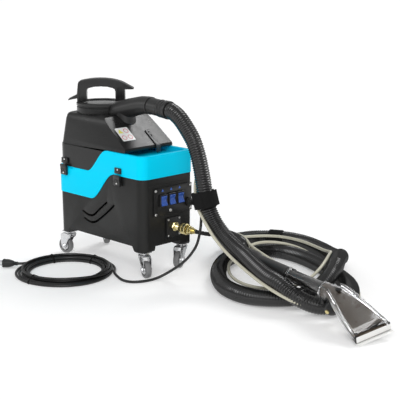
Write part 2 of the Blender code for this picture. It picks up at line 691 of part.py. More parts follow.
def rocker(index, name):
    """Rocker cap: two tilted faces about a pin along X."""
    half = 0.0145
    outline = [(0.0, -half), (0.0, half), (-0.0100, half - 0.001), (-0.0072, 0.0), (-0.0135, -half + 0.001)]
    bm = prism_bm(outline, "X", -0.0104, 0.0104)
    moved(bm, Matrix.Translation((0, 0.0015, 0)))
    obj = add_object(name, bm, "switch_blue")
    obj.location = (ROCKER_X[index], BEZEL_Y, ROCKER_Z)
    bevel_edges(obj, 0.0008, 1)
    return obj


def bulkhead_plate():
    bm = box_bm((0.056, 0.003, 0.060), (0.020, FACE_Y - 0.0015, 0.139))
    body = add_object("bulkhead_plate", bm, "black_plastic")
    bevel_edges(body, 0.001, 1)
    return body


def coupler_socket():
    """Brass hex and long neck of the quick coupler, standing out of the plate."""
    profile = [(0.0130, 0.0), (0.0130, 0.009), (0.0085, 0.0105), (0.0085, COUPLER_NECK)]
    place = along((0, -1, 0), (COUPLER_X, COUPLER_Y, COUPLER_Z))
    return add_object("coupler_socket", moved(turned_bm(profile, 12), place), "brass")


def coupler_sleeve():
    """Wide release sleeve that slides back along the coupler."""
    profile = [(0.0089, 0.0), (0.0165, 0.0), (0.0165, 0.007), (0.0148, 0.008), (0.0165, 0.009),
               (0.0165, 0.021), (0.0089, 0.021)]
    bm = turned_bm(profile, 20, True)
    obj = add_object("coupler_sleeve", bm, "brass")
    obj.matrix_world = along((0, -1, 0), (COUPLER_X, COUPLER_Y - COUPLER_SLEEVE_OUT, COUPLER_Z))
    return obj


def coupler_nipple():
    """Male half with ridges and a hose barb; it leaves the coupler toward the hose."""
    profile = [(0.0095, 0.0), (0.0125, 0.001), (0.0125, 0.008), (0.0095, 0.010), (0.0110, 0.012),
               (0.0110, 0.017), (0.0085, 0.019), (0.0066, NIPPLE_SPAN)]
    place = along((0, -1, 0), (COUPLER_X, COUPLER_Y - COUPLER_NECK - GAP, COUPLER_Z))
    return add_object("coupler_nipple", moved(turned_bm(profile, 20), place), "brass")


def cord_gland():
    start = FACE_Y - PANEL_THICK - GAP
    profile = [(0.0125, 0.0), (0.0125, 0.006), (0.0085, 0.008), (0.0085, 0.016), (0.0062, 0.019),
               (0.0052, GLAND_SPAN)]
    bm = turned_bm(profile, 20)
    return add_object("cord_gland", moved(bm, along((0, -1, 0), (GLAND_X, start, GLAND_Z))), "black_rubber")


# ------------------------------------------------------------------ power cord


def power_cord():
    path = smooth_route(CORD_ROUTE, 0.015)
    path = squared_ends(path, (0.0, -1.0, 0.0), (-0.53, 0.848, 0.0))
    return tube("power_cord", path, CORD_R, "cord_rubber", 2)


def power_cord_coil():
    """Outer shape of the cord laid in turns on the floor beside the machine."""
    rings = []
    profile = []
    for k in range(10):
        t = 2 * math.pi * k / 10
        profile.append((COIL_HALF * math.cos(t), 0.0140 * math.sin(t) + 0.0145))
    for k in range(40):
        a = 2 * math.pi * k / 40
        ring = []
        for across, z in profile:
            r = COIL_R + across
            ring.append((COIL_CENTRE[0] + r * math.cos(a), COIL_CENTRE[1] + r * math.sin(a), z))
        rings.append(ring)
    return add_object("power_cord_coil", loft_bm(rings, True), "cord_rubber")


def plug():
    """Moulded three-pin plug, lying beside the coil and pointing away."""
    body = loft_bm([[(x, y, z) for y, z in rounded_rect(w, h, min(w, h) * 0.6, 3)]
                    for x, w, h in ((0.0, 0.0055, 0.0055), (0.014, 0.0085, 0.0080), (0.030, 0.0130, 0.0115),
                                    (0.046, 0.0135, 0.0115))])
    pins = [box_bm((0.018, 0.0016, 0.0064), (0.054, dy, 0.003)) for dy in (-0.0063, 0.0063)]
    earth = turned_bm([(0.0024, 0.0), (0.0024, 0.021)], 10)
    pins.append(moved(earth, along((1, 0, 0), (0.044, 0, -0.0055))))
    matrix = Matrix.Translation(PLUG_AT) @ Matrix.Rotation(math.radians(PLUG_YAW), 4, "Z")
    return union_of("plug", [moved(b, matrix) for b in [body] + pins], "black_rubber")


# --------------------------------------------------------------------- casters
def caster(tag, side_x, side_y, heading):
    """Swivel caster: plate, pressed fork with axle, and wheel."""
    pivot = Vector((side_x * CASTER_X, side_y * CASTER_Y, 0.0))
    plate_low = FOOT_Z - GAP - 0.0025
    plate = box_bm((0.038, 0.036, 0.0025), (pivot.x, pivot.y, FOOT_Z - GAP - 0.00125), 0.004)
    race = moved(turned_bm([(0.0145, plate_low - 0.0055), (0.0165, plate_low + 0.0005)], 20),
                 Matrix.Translation((pivot.x, pivot.y, 0)))
    union_of("caster_" + tag + "_plate", [plate, race], "zinc")
    turn = Matrix.Rotation(math.radians(heading), 4, "Z")
    crown = plate_low - 0.0055 - GAP
    trail = CASTER_TRAIL
    top = turned_bm([(0.0155, crown - 0.003), (0.0155, crown)], 20)
    bridge = box_bm((0.030, 0.026, 0.003), (trail * 0.45, 0, crown - 0.0015))
    legs = []
    for sy in (-1, 1):
        outline = [(-0.012, crown - 0.0005), (trail + 0.012, crown - 0.0005), (trail + 0.010, WHEEL_R),
                   (trail + 0.004, WHEEL_R - 0.009), (trail - 0.004, WHEEL_R - 0.009),
                   (trail - 0.009, WHEEL_R)]
        legs.append(prism_bm(outline, "Y", sy * 0.01225 - 0.00125, sy * 0.01225 + 0.00125))
    axle = moved(turned_bm([(0.0030, -0.0165), (0.0030, 0.0165)], 12),
                 along((0, 1, 0), (trail, 0, WHEEL_R)))
    heads = [moved(turned_bm([(0.0055, 0.0), (0.0055, 0.0035)], 6),
                   along((0, side, 0), (trail, side * 0.0130, WHEEL_R))) for side in (-1, 1)]
    fork = union_of("caster_" + tag + "_fork", [top, bridge] + legs + [axle] + heads, "zinc")
    fork.location = pivot
    fork.rotation_euler = (0, 0, math.radians(heading))
    for mod in fork.modifiers:
        mod.object.parent = fork
    wheel_profile = [(0.0034, -0.0100), (0.0120, -0.0100), (0.0140, -0.0085), (0.0230, -0.0090),
                     (WHEEL_R, -0.0060), (WHEEL_R, 0.0060), (0.0230, 0.0090), (0.0140, 0.0085),
                     (0.0120, 0.0100), (0.0034, 0.0100)]
    wheel = add_object("caster_" + tag + "_wheel", turned_bm(wheel_profile, 24, True), "grey_rubber")
    wheel.matrix_world = (Matrix.Translation(pivot) @ turn
                          @ along((0, 1, 0), (trail, 0, WHEEL_R)))


# --------------------------------------------------- latches and front bracket
def latch_keeper(name, side_x, y, z):
    """Screwed keeper with a hook along its lower edge."""
    x = side_x * (WIDTH / 2 + 0.0012 + GAP)
    plate = box_bm((0.003, 0.029, 0.017), (x + side_x * 0.0015, y, z))
    hook = box_bm((0.0030, 0.024, 0.0040), (x + side_x * 0.0042, y, z - 0.0040))
    screw = moved(turned_bm([(0.0032, 0.0), (0.0028, 0.0040)], 10),
                  along((side_x, 0, 0), (x + side_x * 0.001, y, z + 0.0045)))
    return union_of(name, [plate, hook, screw], "black_plastic")


def latch_lever(name, side_x, y, z):
    """Draw lever hinged at its lower end; it folds out and down."""
    pin = 0.0045
    outline = [(0.004 * math.cos(math.radians(180 + 36 * k)), 0.004 * math.sin(math.radians(180 + 36 * k)))
               for k in range(6)]
    outline += [(0.0035, 0.014), (0.0055, 0.026), (0.0045, 0.0295), (0.0010, 0.0285), (-0.0040, 0.0220)]
    bm = prism_bm([(side_x * a, b) for a, b in outline], "Y", -0.0135, 0.0135)
    obj = add_object(name, bm, "black_plastic")
    obj.location = (side_x * (WIDTH / 2 + 0.0012 + GAP + pin), y, z)
    return obj


def front_strap():
    """Metal strap from the tank's slope down to the blue tank's front."""
    slope = Vector((0, -0.106, -0.0800)).normalized()
    normal = Vector((0, -slope.z, slope.y))
    if normal.z < 0:
        normal = -normal
    start = Vector((0, -0.070, 0.4115)) + normal * (GAP + 0.0002)
    bend = start + slope * 0.0635
    foot = Vector((0, bend.y - 0.0010, bend.z - 0.0200))
    inner = [start, bend, foot]
    thick = 0.0022
    outer = [start + normal * thick, bend + Vector((0, -thick, thick * 0.6)), foot + Vector((0, -thick, 0))]
    outline = [(p.y, p.z) for p in inner] + [(p.y, p.z) for p in reversed(outer)]
    x = STRAP_X
    return add_object("front_strap", prism_bm(outline, "X", x - 0.008, x + 0.008), "zinc", False)


# ------------------------------------------------------------------- hand tool
def tool_piece(name, bm, mat):
    return add_object(name, moved(bm, tool_matrix()), mat)


def tool_section(y, half_w, z_low, z_high, radius):
    mid = (z_low + z_high) / 2
    half_h = (z_high - z_low) / 2
    ring = rounded_rect(half_w, half_h, min(radius, half_w * 0.95, half_h * 0.95), 4, (0, mid))
    return [(x, y, z) for x, z in ring]


def tool_head():
    """Clear flared head from the floor lip up to the round neck; hollow right through."""
    mid = TOOL_AXIS_Z
    outer = [tool_section(0.010, 0.056, 0.001, 0.020, 0.004),
             tool_section(0.060, 0.048, 0.020, 0.047, 0.008),
             tool_section(0.105, 0.038, 0.038, 0.074, 0.014),
             tool_section(0.138, 0.029, 0.049, 0.092, 0.019),
             tool_section(0.165, 0.0225, mid - 0.022, mid + 0.022, 0.0215),
             tool_section(0.190, 0.0215, mid - 0.0215, mid + 0.0215, 0.0210)]
    inner = [tool_section(0.004, 0.0525, 0.0040, 0.0155, 0.003),
             tool_section(0.060, 0.0445, 0.0245, 0.0425, 0.006),
             tool_section(0.105, 0.0345, 0.0425, 0.0695, 0.011),
             tool_section(0.138, 0.0255, 0.0535, 0.0875, 0.015),
             tool_section(0.165, 0.0190, mid - 0.018, mid + 0.018, 0.0175),
             tool_section(0.200, 0.0180, mid - 0.018, mid + 0.018, 0.0175)]
    body = add_object("tool_head", moved(loft_bm(outer), tool_matrix()), "clear_plastic")
    cut(body, add_object("tool_head_hollow", moved(loft_bm(inner), tool_matrix()), None, False, True))
    return body


def tool_tube():
    """Clear barrel between the head and the grip, with a raised ring at each end."""
    profile = [(0.0175, 0.0), (0.0225, 0.0), (0.0225, 0.008), (0.0180, 0.010), (0.0180, TUBE_SPAN - 0.014),
               (0.0205, TUBE_SPAN - 0.012), (0.0205, TUBE_SPAN), (0.0160, TUBE_SPAN)]
    bm = moved(turned_bm(profile, 28, True), along((0, 1, 0), (0, TUBE_START, TOOL_AXIS_Z)))
    return tool_piece("tool_tube", bm, "clear_plastic")


def tool_grip():
    """Black hose cuff pushed over the rear of the barrel."""
    span = TOOL_END_Y - GRIP_START
    profile = [(0.0200, 0.0), (0.0215, 0.004), (0.0205, 0.010), (0.0205, span - 0.060),
               (0.0245, span - 0.045), (0.0260, span - 0.010), (0.0260, span)]
    bm = moved(turned_bm(profile, 28), along((0, 1, 0), (0, GRIP_START, TOOL_AXIS_Z)))
    return tool_piece("tool_grip", bm, "black_plastic")


def tool_lip():
    """White glide lip across the mouth."""
    outline = [(-0.004, 0.0006), (0.0094, 0.0006), (0.0094, 0.0034), (0.0015, 0.0034), (-0.004, 0.0022)]
    return tool_piece("tool_lip", prism_bm(outline, "X", -0.056, 0.056), "white_plastic")


def tool_valve():
    """Round valve body hanging under the neck, with its brass spindle."""
    ball = bmesh.new()
    bmesh.ops.create_uvsphere(ball, u_segments=20, v_segments=12, radius=VALVE_R)
    centre_z = TOOL_AXIS_Z - VALVE_DROP
    moved(ball, Matrix.Translation((0, VALVE_Y, centre_z)))
    stem = moved(turned_bm([(0.0085, 0.0), (0.0085, 0.0065)], 16),
                 along((0, 0, 1), (0, VALVE_Y, centre_z + 0.0145)))
    jet = moved(turned_bm([(0.0052, 0.0), (0.0052, 0.018)], 10),
                along((0, -1, 0.1), (0, VALVE_Y - 0.017, centre_z)))
    body = add_object("tool_valve", moved(ball, tool_matrix()), "black_plastic")
    for index, bm in enumerate((stem, jet)):
        join = add_object("valve_join_" + str(index), moved(bm, tool_matrix()), None, True, True)
        cut(body, join, "UNION")
    return body


def tool_trigger():
    """Thumb lever behind the valve, pivoted at its front end."""
    outline = [(0.0, -0.005), (0.0, 0.005), (0.012, 0.003), (0.018, -0.006), (0.016, -0.009),
               (0.008, -0.004)]
    bm = prism_bm(outline, "X", -0.007, 0.007)
    obj = add_object("tool_trigger", bm, "black_plastic")
    obj.matrix_world = tool_matrix() @ Matrix.Translation((-0.004, VALVE_Y + 0.0200, TOOL_AXIS_Z - 0.0320))
    bevel_edges(obj, 0.0008, 1)
    return obj


# ------------------------------------------------------------------- internals
def vacuum_motor():
    profile = [(0.040, 0.0), (0.042, 0.010), (0.042, 0.040), (0.030, 0.046), (0.030, 0.074)]
    bm = moved(turned_bm(profile, 24), Matrix.Translation((0.0, 0.078, SKIRT_Z + 0.0055)))
    return add_object("vacuum_motor", bm, "motor_grey")


def solution_pump():
    body = box_bm((0.055, 0.050, 0.060), (0.045, -0.065, SKIRT_Z + 0.0355), 0.006)
    head = moved(turned_bm([(0.018, 0.0), (0.016, 0.022)], 20),
                 along((0, 0, 1), (0.045, -0.065, SKIRT_Z + 0.063)))
    return union_of("solution_pump", [body, head], "motor_grey")


def heater():
    body = box_bm((0.048, 0.105, 0.050), (-0.046, -0.060, SKIRT_Z + 0.0305), 0.008)
    return add_object("heater", body, "zinc")


# ----------------------------------------------------------------------- build
def make_materials():
    material("black_plastic", (0.045, 0.046, 0.048), 0.5)
    material("blue_plastic", (0.0, 0.60, 0.93), 0.35)
    material("panel_plastic", (0.03, 0.03, 0.032), 0.4)
    material("switch_blue", (0.03, 0.12, 0.45), 0.3)
    material("hose_plastic", (0.035, 0.035, 0.038), 0.3)
    material("black_rubber", (0.03, 0.03, 0.03), 0.7)
    material("cord_rubber", (0.02, 0.02, 0.022), 0.5)
    material("grey_rubber", (0.25, 0.25, 0.26), 0.7)
    material("cream_plastic", (0.62, 0.60, 0.48), 0.45)
    material("white_plastic", (0.9, 0.9, 0.88), 0.35)
    material("clear_plastic", (0.9, 0.92, 0.93), 0.05, 0.0, 0.9)
    material("webbing", (0.02, 0.02, 0.02), 0.9)
    material("zinc", (0.6, 0.6, 0.62), 0.35, 1.0)
    material("brass", (0.75, 0.6, 0.28), 0.3, 1.0)
    material("motor_grey", (0.2, 0.2, 0.21), 0.6)


def build():
    make_materials()
    base_housing()
    base_plate()
    solution_tank()
    recovery_tank()
    lid_ring()
    lid_window()
    handle()
    hose_elbow()
    hose_cuff()
    vacuum_hose()
    hose_wrap()
    solution_line()
    hose_sleeve()
    coupler_socket()
    coupler_sleeve()
    coupler_nipple()
    bulkhead_plate()
    control_panel()
    for index, tag in enumerate(("left", "middle", "right")):
        rocker_bezel(index, "bezel_" + tag)
        rocker(index, "rocker_" + tag)
    cord_gland()
    power_cord()
    power_cord_coil()
    plug()
    for tag, side_x, side_y, heading in (("fl", -1, -1, 250), ("fr", 1, -1, 200), ("rl", -1, 1, 100),
                                         ("rr", 1, 1, 60)):
        caster(tag, side_x, side_y, heading)
    for tag, side_x in (("left", -1), ("right", 1)):
        latch_keeper("keeper_rear_" + tag, side_x, 0.158, 0.307)
        latch_lever("lever_rear_" + tag, side_x, 0.158, 0.266)
        latch_keeper("keeper_mid_" + tag, side_x, -0.096, 0.310)
        latch_lever("lever_mid_" + tag, side_x, -0.096, 0.269)
    front_strap()
    tool_head()
    tool_tube()
    tool_grip()
    tool_lip()
    tool_valve()
    tool_trigger()
    vacuum_motor()
    solution_pump()
    heater()


def centre_origin():
    """Move everything so the origin is under the middle of machine and tool."""
    shift = Vector((ORIGIN_X, ORIGIN_Y, 0.0))
    for col in (PARTS, CUTTERS):
        for obj in col.objects:
            if obj.parent is None:
                obj.location = obj.location + shift


clear_scene()
PARTS = new_collection("carpet_cleaner_machine")
CUTTERS = new_collection("carpet_cleaner_cutters")
build()
centre_origin()
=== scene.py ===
import math

import bmesh
import bpy
import numpy as np
from mathutils import Matrix, Vector


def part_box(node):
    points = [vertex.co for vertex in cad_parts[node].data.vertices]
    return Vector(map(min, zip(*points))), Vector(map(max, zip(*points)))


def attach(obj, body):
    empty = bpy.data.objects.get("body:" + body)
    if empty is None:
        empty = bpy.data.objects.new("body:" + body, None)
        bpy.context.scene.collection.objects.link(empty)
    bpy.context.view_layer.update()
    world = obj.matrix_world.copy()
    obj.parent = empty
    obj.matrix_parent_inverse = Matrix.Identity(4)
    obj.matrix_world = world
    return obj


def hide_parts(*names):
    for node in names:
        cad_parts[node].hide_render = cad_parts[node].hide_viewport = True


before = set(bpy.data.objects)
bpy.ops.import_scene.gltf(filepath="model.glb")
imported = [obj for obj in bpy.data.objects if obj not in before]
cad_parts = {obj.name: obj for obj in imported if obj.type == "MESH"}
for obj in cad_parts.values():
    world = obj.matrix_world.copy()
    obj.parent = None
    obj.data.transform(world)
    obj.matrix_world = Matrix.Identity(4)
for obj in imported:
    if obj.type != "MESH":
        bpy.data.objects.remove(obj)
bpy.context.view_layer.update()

# The machine is drawn about its own centre line on the floor; this puts it in the frame.
# The housing's box is centred 0.28 mm from that line along Y, so every piece drawn here sits that far off its
# CAD node.
_low, _high = [Vector(c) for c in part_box("base_housing")]
HOME = Vector(((_low.x + _high.x) / 2, (_low.y + _high.y) / 2, 0.0))
TO_FRAME = Matrix.Translation(HOME)

# ---------------------------------------------------------------- driving sizes
GAP = 0.0004
WIDTH = 0.200
CORNER_R = 0.028
TIGHT_R = 0.014
LENGTH = 0.400
FOOT_Z = 0.076
SKIRT_Z = 0.091
SEAM_LOW_Z = 0.206
SEAM_HIGH_Z = 0.294
BLUE_REAR_Z = 0.290
BLUE_FRONT_Z = 0.362
BULGE_Z = 0.358
TANK_TOP_Z = 0.455
NECK_Y = 0.099
NECK_R = 0.076
LID_Z = 0.472
LID_BASE = LID_Z + 0.002 + GAP
LID_TOP = LID_BASE + 0.012
HANDLE_TOP_Z = 0.558
HANDLE_TURN = 45.0
HOSE_R = 0.024
LINE_R = 0.0045
CORD_R = 0.004
STUB = 0.006
COIL_CENTRE = (-0.216, 0.018)
COIL_R = 0.130
PLUG_YAW = 128.0
PLUG_AT = (-0.2905, 0.1585, 0.0130)
STRAP_X = 0.034
VALVE_Y = 0.172
VALVE_R = 0.0205
VALVE_DROP = 0.044
TOOL_YAW = 13.5
TOOL_ROLL = 9.0
TOOL_LIP = (-0.040, -0.992, 0.0105)
TOOL_END_Y = 0.555
TOOL_AXIS_Z = 0.075
WHEEL_R = 0.0254
FACE_Y = -LENGTH / 2 - GAP


# --------------------------------------------------------------- shape helpers
def prism_bm(outline, axis, low, high):
    """Closed outline drawn in the plane across `axis`, pulled from low to high."""
    bm = bmesh.new()
    rings = []
    for level in (low, high):
        ring = []
        for a, b in outline:
            co = {"X": (level, a, b), "Y": (a, level, b), "Z": (a, b, level)}[axis]
            ring.append(bm.verts.new(co))
        rings.append(ring)
    for i in range(len(outline)):
        j = (i + 1) % len(outline)
        bm.faces.new((rings[0][i], rings[0][j], rings[1][j], rings[1][i]))
    bm.faces.new(rings[0])
    bm.faces.new(rings[1])
    return bm


def loft_bm(rings, closed=False, caps=True):
    bm = bmesh.new()
    rows = [[bm.verts.new(p) for p in ring] for ring in rings]
    count = len(rows[0])
    last = len(rows) if closed else len(rows) - 1
    for r in range(last):
        low = rows[r]
        high = rows[(r + 1) % len(rows)]
        for i in range(count):
            j = (i + 1) % count
            bm.faces.new((low[i], low[j], high[j], high[i]))
    if caps and not closed:
        bm.faces.new(rows[0])
        bm.faces.new(rows[-1])
    return bm


def rounded_rect(half_x, half_y, radius, steps=5, centre=(0.0, 0.0), tight=None):
    """Outline with round corners; `tight` is the radius of the +X, -Y corner alone."""
    points = []
    for sx, sy, start in ((1, 1, 0), (-1, 1, 90), (-1, -1, 180), (1, -1, 270)):
        r = tight if tight and start == 270 else radius
        cx = centre[0] + sx * (half_x - r)
        cy = centre[1] + sy * (half_y - r)
        for k in range(steps + 1):
            t = math.radians(start + 90.0 * k / steps)
            points.append((cx + r * math.cos(t), cy + r * math.sin(t)))
    return points


def box_bm(size, centre, radius=0.0, steps=4):
    half = [s / 2 for s in size]
    if radius:
        outline = rounded_rect(half[0], half[1], radius, steps, (centre[0], centre[1]))
    else:
        outline = [(centre[0] + sx * half[0], centre[1] + sy * half[1])
                   for sx, sy in ((1, 1), (-1, 1), (-1, -1), (1, -1))]
    return prism_bm(outline, "Z", centre[2] - half[2], centre[2] + half[2])


def turned_bm(profile, segments=48, bore=False):
    rings = []
    for radius, height in profile:
        rings.append([(radius * math.cos(2 * math.pi * k / segments),
                       radius * math.sin(2 * math.pi * k / segments), height) for k in range(segments)])
    return loft_bm(rings, closed=bore)


def moved(bm, matrix):
    bmesh.ops.transform(bm, matrix=matrix, verts=bm.verts)
    return bm


def along(axis, centre):
    turn = Vector((0, 0, 1)).rotation_difference(Vector(axis)).to_matrix().to_4x4()
    return Matrix.Translation(centre) @ turn


def merged(*meshes):
    """Several closed shapes in one mesh."""
    out = bmesh.new()
    for bm in meshes:
        me = bpy.data.meshes.new("part")
        bm.to_mesh(me)
        bm.free()
        out.from_mesh(me)
        bpy.data.meshes.remove(me)
    return out


def raw_object(name, bm, smooth=38):
    bmesh.ops.recalc_face_normals(bm, faces=bm.faces)
    mesh = bpy.data.meshes.new(name)
    bm.to_mesh(mesh)
    bm.free()
    obj = bpy.data.objects.new(name, mesh)
    bpy.context.scene.collection.objects.link(obj)
    mesh.shade_smooth()
    mesh.set_sharp_from_angle(angle=math.radians(smooth))
    return obj


def hung(obj, body, stands_for):
    """Gives a piece the body it rides on and the nodes it replaces."""
    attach(obj, body)
    if stands_for:
        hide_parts(*stands_for)
    return obj


def piece(name, bm, mat, body="machine", stands_for=(), smooth=38):
    """One visible piece in the frame: material, the body it rides on and the nodes it replaces."""
    moved(bm, TO_FRAME)
    obj = raw_object(name, bm, smooth)
    mats = mat if isinstance(mat, (list, tuple)) else [mat]
    for each in mats:
        obj.data.materials.append(each)
    return hung(obj, body, stands_for)


def from_object(obj):
    bm = bmesh.new()
    bm.from_mesh(obj.data)
    bpy.data.objects.remove(obj, do_unlink=True)
    return bm


def applied(obj):
    """Bakes an object's modifiers into its mesh."""
    graph = bpy.context.evaluated_depsgraph_get()
    mesh = bpy.data.meshes.new_from_object(obj.evaluated_get(graph))
    obj.modifiers.clear()
    old = obj.data
    obj.data = mesh
    bpy.data.meshes.remove(old)
    return obj


def boolean(obj, bm, how="DIFFERENCE"):
    """Cuts or joins another shape at once, so no helper objects are left behind."""
    helper = raw_object("helper", bm)
    mod = obj.modifiers.new("cut", "BOOLEAN")
    mod.operation = how
    mod.solver = "EXACT"
    mod.object = helper
    applied(obj)
    bpy.data.objects.remove(helper, do_unlink=True)
    return obj


def bevelled(obj, width, segments=3, angle=30, smooth=40):
    mod = obj.modifiers.new("edge", "BEVEL")
    mod.width = width
    mod.segments = segments
    mod.limit_method = "ANGLE"
    mod.angle_limit = math.radians(angle)
    mod.harden_normals = False
    applied(obj)
    obj.data.shade_smooth()
    obj.data.set_sharp_from_angle(angle=math.radians(smooth))
    return obj


def finished(obj, name, mat, body="machine", stands_for=()):
    """Turns a raw object drawn about the machine's centre into a named piece."""
    obj.data.transform(TO_FRAME)
    obj.name = name
    obj.data.name = name
    obj.data.materials.clear()
    obj.data.materials.append(mat)
    return hung(obj, body, stands_for)


def smooth_route(points, spacing):
    """Centripetal spline through given points, read at even spacing."""
    pts = [np.array(p, dtype=float) for p in points]
    pts = [2 * pts[0] - pts[1]] + pts + [2 * pts[-1] - pts[-2]]
    dense = []
    for i in range(1, len(pts) - 2):
        p0, p1, p2, p3 = pts[i - 1:i + 3]
        t = [0.0]
        for a, b in ((p0, p1), (p1, p2), (p2, p3)):
            t.append(t[-1] + max(np.linalg.norm(b - a), 1e-6) ** 0.5)
        for u in np.linspace(t[1], t[2], 24, endpoint=False):
            a1 = p0 + (p1 - p0) * (u - t[0]) / (t[1] - t[0])
            a2 = p1 + (p2 - p1) * (u - t[1]) / (t[2] - t[1])
            a3 = p2 + (p3 - p2) * (u - t[2]) / (t[3] - t[2])
            b1 = a1 + (a2 - a1) * (u - t[0]) / (t[2] - t[0])
            b2 = a2 + (a3 - a2) * (u - t[1]) / (t[3] - t[1])
            dense.append(b1 + (b2 - b1) * (u - t[1]) / (t[2] - t[1]))
    dense.append(pts[-2])
    return resampled(np.array(dense), spacing)


def resampled(dense, spacing):
    steps = np.linalg.norm(np.diff(dense, axis=0), axis=1)
    run = np.concatenate(([0.0], np.cumsum(steps)))
    count = max(int(round(run[-1] / spacing)), 2)
    marks = np.linspace(0.0, run[-1], count + 1)
    return np.stack([np.interp(marks, run, dense[:, k]) for k in range(3)], axis=1)


def slanted_ring(point, side, other, r, count):
    """Points of a circle about `point`, in the plane of two unit vectors."""
    turns = [2 * math.pi * k / count for k in range(count)]
    return [point + r * (math.cos(t) * side + math.sin(t) * other) for t in turns]


def tube_bm(path, radii, segments=20):
    """Round skin along a path with carried frames, so ribs never twist."""
    pts = [Vector([float(c) for c in p]) for p in path]
    side = None
    rings = []
    for i, point in enumerate(pts):
        axis = (pts[min(i + 1, len(pts) - 1)] - pts[max(i - 1, 0)]).normalized()
        if side is None:
            side = axis.cross(Vector((0.31, 0.05, 0.95))).normalized()
        else:
            side = (side - axis * side.dot(axis)).normalized()
        other = axis.cross(side)
        r = float(radii[i])
        rings.append(slanted_ring(point, side, other, r, segments))
    return loft_bm(rings)


def curve_piece(name, path, radius, mat, body="machine", stands_for=()):
    curve = bpy.data.curves.new(name, "CURVE")
    curve.dimensions = "3D"
    curve.bevel_depth = radius
    curve.bevel_resolution = 5
    curve.use_fill_caps = True
    spline = curve.splines.new("POLY")
    spline.points.add(len(path) - 1)
    for point, co in zip(spline.points, path):
        point.co = (co[0] + HOME.x, co[1] + HOME.y, co[2], 1.0)
    obj = bpy.data.objects.new(name, curve)
    bpy.context.scene.collection.objects.link(obj)
    curve.materials.append(mat)
    return hung(obj, body, stands_for)


# ------------------------------------------------------------------- materials
def surface(name, colour, rough, metal=0.0, tint=None, tint_scale=6.0, grain=None, grain_scale=1400.0,
            rough_spread=0.08, coat=0.0, clear=0.0, ior=1.5, dust=0.0, shine=0.5):
    """Principled surface with broken-up colour, uneven gloss and a fine moulded or cast grain."""
    mat = bpy.data.materials.new(name)
    mat.use_nodes = True
    tree = mat.node_tree
    nodes, links = tree.nodes, tree.links
    bsdf = nodes["Principled BSDF"]
    bsdf.inputs["Metallic"].default_value = metal
    bsdf.inputs["IOR"].default_value = ior
    bsdf.inputs["Specular IOR Level"].default_value = shine
    bsdf.inputs["Coat Weight"].default_value = coat
    bsdf.inputs["Coat Roughness"].default_value = 0.12
    bsdf.inputs["Transmission Weight"].default_value = clear
    coord = nodes.new("ShaderNodeTexCoord")

    def noise(scale, detail):
        node = nodes.new("ShaderNodeTexNoise")
        node.inputs["Scale"].default_value = scale
        node.inputs["Detail"].default_value = detail
        links.new(coord.outputs["Object"], node.inputs["Vector"])
        return node

    broad = noise(tint_scale, 5.0)
    blend = nodes.new("ShaderNodeMix")
    blend.data_type = "RGBA"
    other = tint or tuple(min(c * 1.25 + 0.006, 1.0) for c in colour)
    blend.inputs["A"].default_value = (*colour, 1.0)
    blend.inputs["B"].default_value = (*other, 1.0)
    links.new(broad.outputs["Fac"], blend.inputs["Factor"])
    top = blend.outputs["Result"]
    if dust:
        geo = nodes.new("ShaderNodeNewGeometry")
        split = nodes.new("ShaderNodeSeparateXYZ")
        links.new(geo.outputs["Normal"], split.inputs["Vector"])
        speck = noise(60.0, 6.0)
        up = nodes.new("ShaderNodeMapRange")
        up.inputs["From Min"].default_value = 0.2
        up.inputs["To Max"].default_value = dust
        links.new(split.outputs["Z"], up.inputs["Value"])
        amount = nodes.new("ShaderNodeMath")
        amount.operation = "MULTIPLY"
        links.new(up.outputs["Result"], amount.inputs[0])
        links.new(speck.outputs["Fac"], amount.inputs[1])
        film = nodes.new("ShaderNodeMix")
        film.data_type = "RGBA"
        links.new(amount.outputs["Value"], film.inputs["Factor"])
        links.new(top, film.inputs["A"])
        film.inputs["B"].default_value = (0.42, 0.42, 0.42, 1.0)
        top = film.outputs["Result"]
    links.new(top, bsdf.inputs["Base Color"])
    gloss = nodes.new("ShaderNodeMapRange")
    gloss.inputs["To Min"].default_value = max(rough - rough_spread, 0.02)
    gloss.inputs["To Max"].default_value = min(rough + rough_spread, 1.0)
    fine = noise(45.0, 4.0)
    links.new(fine.outputs["Fac"], gloss.inputs["Value"])
    links.new(gloss.outputs["Result"], bsdf.inputs["Roughness"])
    if grain:
        skin = noise(grain_scale, 3.0)
        bump = nodes.new("ShaderNodeBump")
        bump.inputs["Strength"].default_value = grain
        bump.inputs["Distance"].default_value = 0.0003
        links.new(skin.outputs["Fac"], bump.inputs["Height"])
        links.new(bump.outputs["Normal"], bsdf.inputs["Normal"])
    return mat


